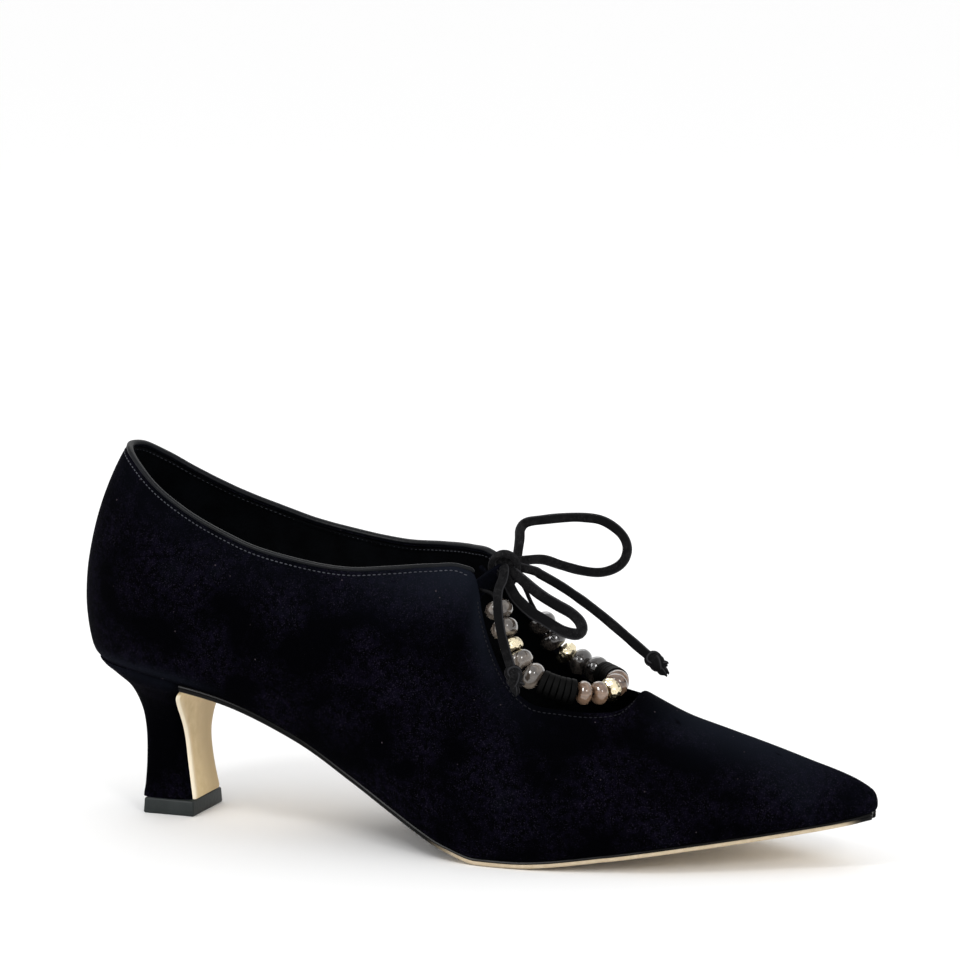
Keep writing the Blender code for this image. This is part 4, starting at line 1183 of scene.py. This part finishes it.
# A darker copy of the smoky glass, used for the grey beads on the far side of the opening.
farGreyBeadGlass = glassMaterial("farGreyBeadGlass", [(0.003, 0.003, 0.003), (0.014, 0.012, 0.011), (0.07, 0.058, 0.050)],
                          (0.055, 0.045, 0.038), 250, 0.06)
woodyStone = glassMaterial("woodyStone", [(0.045, 0.024, 0.015), (0.15, 0.088, 0.055), (0.29, 0.185, 0.120)],
                           (0.25, 0.160, 0.105), 330, 0.09, (0.4, 1.0, 1.6))
paleGold = goldMaterial()
blackDisc = leatherMaterial("blackDisc", (0.0008, 0.0008, 0.0008), (0.0025, 0.0025, 0.0025), 0.55, 1200, 0.2,
                            0.05)
blackCord = leatherMaterial("braidedBlackCord", (0.001, 0.001, 0.001), (0.004, 0.004, 0.005), 0.7, 2600, 0.5,
                            0.1)
beadLooks = {"grey": smokyGlass, "brown": woodyStone, "gold": paleGold}


def makeBead(name, kind, radius, length, place, along, seed, node):
    piece = roundPiece(name, 44, 26)
    turn = turnedAlong(along)
    offset = Vector((seed * 3.1, seed * 1.7, 0))
    for vertex in piece.data.vertices:
        x, y, z = vertex.co
        flat = math.hypot(x, y)
        around = flat ** 0.72 / max(flat, 1e-6) * radius if flat > 1e-6 else 0
        dip = 0.16 * hill(flat, 0.22)
        lump = 1 + 0.035 * noise.noise(Vector((x, y, z)) * 1.3 + offset)
        if kind == "gold":
            lump += 0.018 * noise.noise(Vector((x, y, z)) * 5 + offset)
        local = Vector((x * around * lump, y * around * lump, z * length / 2 * (1 - dip)))
        vertex.co = Vector(place) + turn @ local
    if kind != "gold":
        # Painted glow: the lower part of each glass or stone bead is painted lighter, standing in for light passing
        # through the bead.
        low = [0.85 * smoothStep(place[2] - v.co.z, 0.0002, radius * 0.75) for v in piece.data.vertices]
        paint(piece, "paintedGlowBelow", low)
    # Grey beads past the tenth, on the far side of the opening, take the darker copy of the glass.
    piece.data.materials.append(farGreyBeadGlass if kind == "grey" and seed > 10 else beadLooks[kind])
    return finishPiece(piece, [node], 70)


def makeDisc(name, place, along, node, seed):
    clearSelection()
    radius = beadShape["discRadius"] * (1 + 0.03 * noise.noise(Vector((seed * 1.3, 0.4, 0.2))))
    bpy.ops.mesh.primitive_cylinder_add(vertices=48, radius=radius, depth=0.00165, end_fill_type="TRIFAN")
    piece = bpy.context.object
    piece.name = name
    rim = piece.modifiers.new("rim", "BEVEL")
    rim.width = 0.00032
    rim.segments = 4
    applyAll(piece)
    turn = turnedAlong(along)
    for vertex in piece.data.vertices:
        vertex.co = Vector(place) + turn @ vertex.co
    piece.data.materials.append(blackDisc)
    return finishPiece(piece, [node], 50)


def makeBeads():
    dense, length = beadString()
    small = (beadShape["smallRadius"], beadShape["smallLength"])
    sizes = {"brown": small, "gold": small, "grey": (beadShape["radius"], beadShape["length"])}
    number, stack = 0, 0
    for side, kinds in ((-1, outerBeads), (1, innerBeads)):
        run = beadShape["smallLength"] / 2 + beadShape["fanGap"] if side > 0 else -beadShape["smallLength"] / 2
        for kind in kinds:
            if kind == "discs":
                stack += 1
                for k in range(6):
                    place, along = onString(dense, length, length / 2 + side * (run + beadShape["discLength"] / 2))
                    makeDisc("blackDisc%d%d" % (stack, k + 1), place, along, "disc_%d_%d" % (stack, k + 1), number + k)
                    run += beadShape["discLength"] + beadShape["discGap"]
                continue
            number += 1
            radius, size = sizes[kind]
            place, along = onString(dense, length, length / 2 + side * (run + size / 2))
            fuller = size + beadShape["plump"] * (1.5 if kind in ("brown", "gold") else 1)
            makeBead("%sBead%02d" % (kind, number), kind, radius * 1.03, fuller, place, along, number,
                     "bead_%s_%02d" % (kind, number))
            run += size + (beadShape["fanGap"] if kind in ("brown", "gold") else beadShape["gap"])
    path = dense[::3]
    thick = [beadShape["cord"]] * len(path)
    rings = sweptRings(path, thick, thick, carried(path, [0.0, 0.0, 1.0]), ovalProfile(10, 2.0))
    finishPiece(ringPiece("beadCord", rings, blackCord), ["bead_cord"], 60)


makeBeads()
print("beads made")

stitchShape = {"pitch": 0.0015, "length": 0.0011, "radius": 0.00021, "sink": 0.00012}


def stitchRow(name, spots, thread=stitchThread):
    # spots: (point, direction along the seam, outward normal)
    first = roundPiece(name, 6, 4)
    first.data.materials.append(thread)
    shape = np.array([tuple(v.co) for v in first.data.vertices])
    shape = shape * np.array([stitchShape["radius"], stitchShape["radius"], stitchShape["length"] / 2])
    pieces = [first]
    for _ in spots[1:]:
        copy = first.copy()
        copy.data = first.data.copy()
        bpy.context.collection.objects.link(copy)
        pieces.append(copy)
    for piece, (point, along, normal) in zip(pieces, spots):
        along = unit(along)
        across = unit(np.cross(along, normal))
        turn = np.stack([np.cross(across, along), across, along], axis=1)
        piece.data.vertices.foreach_set("co", (shape @ turn.T + point).ravel())
    return finishPiece(joined(pieces, name), (), 80)


def seamSpots(start, end, depth, inside=False):
    spots = []
    place = start
    while place < end:
        v = belowTop(place, depth)
        normal, around, upward = ribFrame(place, v)
        point = ribPoint(place, v)
        if abs(place) < throatPlace:
            point = point + rimLift(place, depth)
        if inside:
            point = point - normal * (last["wall"] + 0.00005)
            normal = -normal
        else:
            point = point - normal * stitchShape["sink"]
        spots.append((point, around, normal))
        speed = np.linalg.norm(ribPoint(place + 0.0005, v) - ribPoint(place, v)) / 0.0005
        place += stitchShape["pitch"] / max(speed, 0.2)
    return spots


edgeEnd = throatPlace * 0.985
stitchRow("collarStitchesOutside", seamSpots(-edgeEnd, edgeEnd, upperShape["collarStitch"]))
stitchRow("collarStitchesInside", seamSpots(-edgeEnd, edgeEnd, upperShape["collarStitch"], inside=True))
for label, side in (("Outer", -1), ("Inner", 1)):
    a, b = sorted((side * throatPlace * 1.03, side * (ridgePlace - 0.003)))
    stitchRow("openingStitches" + label, seamSpots(a, b, upperShape["openStitch"]), darkThread)
print("stitches made")

studio = {"floor": (0.98, 0.98, 0.98, 1.0), "world": 1.0, "target": (0.09, 0, 0.04)}
# place, size and power of the panels of light
panels = {
    "keyPanel": ((-0.35, -0.75, 1.15), (0.20, 0.27), 3.0),
    "fillPanel": ((0.95, -0.85, 0.75), (0.26, 0.34), 3.0),
    "backPanel": ((-0.25, 0.9, 0.9), (0.8, 0.3), 1.4),
}
view = {"azimuth": 21, "elevation": 10, "distance": 1.6, "target": (0.0962, 0, 0.106), "lens": 205.8, "sensor": 36}


def areaLight(name, place, target, size, power):
    data = bpy.data.lights.new(name, "AREA")
    data.shape = "RECTANGLE"
    data.size, data.size_y = size
    data.energy = power
    lamp = bpy.data.objects.new(name, data)
    bpy.context.collection.objects.link(lamp)
    lamp.location = place
    lamp.rotation_euler = (Vector(target) - Vector(place)).to_track_quat("-Z", "Y").to_euler()
    return lamp


def makeStudio():
    clearSelection()
    bpy.ops.mesh.primitive_plane_add(size=60, location=(0, 0, 0))
    floor = bpy.context.object
    floor.name = "paperFloor"
    paper = {"Base Color": studio["floor"], "Roughness": 0.85, "Specular IOR Level": 0.2}
    floor.data.materials.append(newMaterial("whitePaper", paper)[0])
    lamps = [areaLight(name, place, studio["target"], size, power) for name, (place, size, power) in panels.items()]
    # seen as a window in the glossy beads, and left out of the shadows on the floor
    window = areaLight("windowPanel", (-0.30, -0.95, 0.95), (0.12, 0, 0.06), (0.62, 0.50), 10.0)
    window.visible_diffuse = False
    lamps.append(window)
    world = bpy.data.worlds.new("whiteRoom")
    bpy.context.scene.world = world
    world.use_nodes = True
    glow = world.node_tree.nodes["Background"].inputs
    glow["Color"].default_value = (1, 1, 1, 1)
    glow["Strength"].default_value = studio["world"]
    bpy.context.scene.view_settings.view_transform = "Standard"


def makeCamera():
    azimuth, elevation = math.radians(view["azimuth"]), math.radians(view["elevation"])
    back = Vector((math.sin(azimuth) * math.cos(elevation), -math.cos(azimuth) * math.cos(elevation),
                   math.sin(elevation)))
    data = bpy.data.cameras.new("camera")
    data.lens = view["lens"]
    data.sensor_width = view["sensor"]
    camera = bpy.data.objects.new("camera", data)
    bpy.context.collection.objects.link(camera)
    camera.location = Vector(view["target"]) + back * view["distance"]
    camera.rotation_euler = (-back).to_track_quat("-Z", "Y").to_euler()
    bpy.context.scene.camera = camera


makeStudio()
makeCamera()
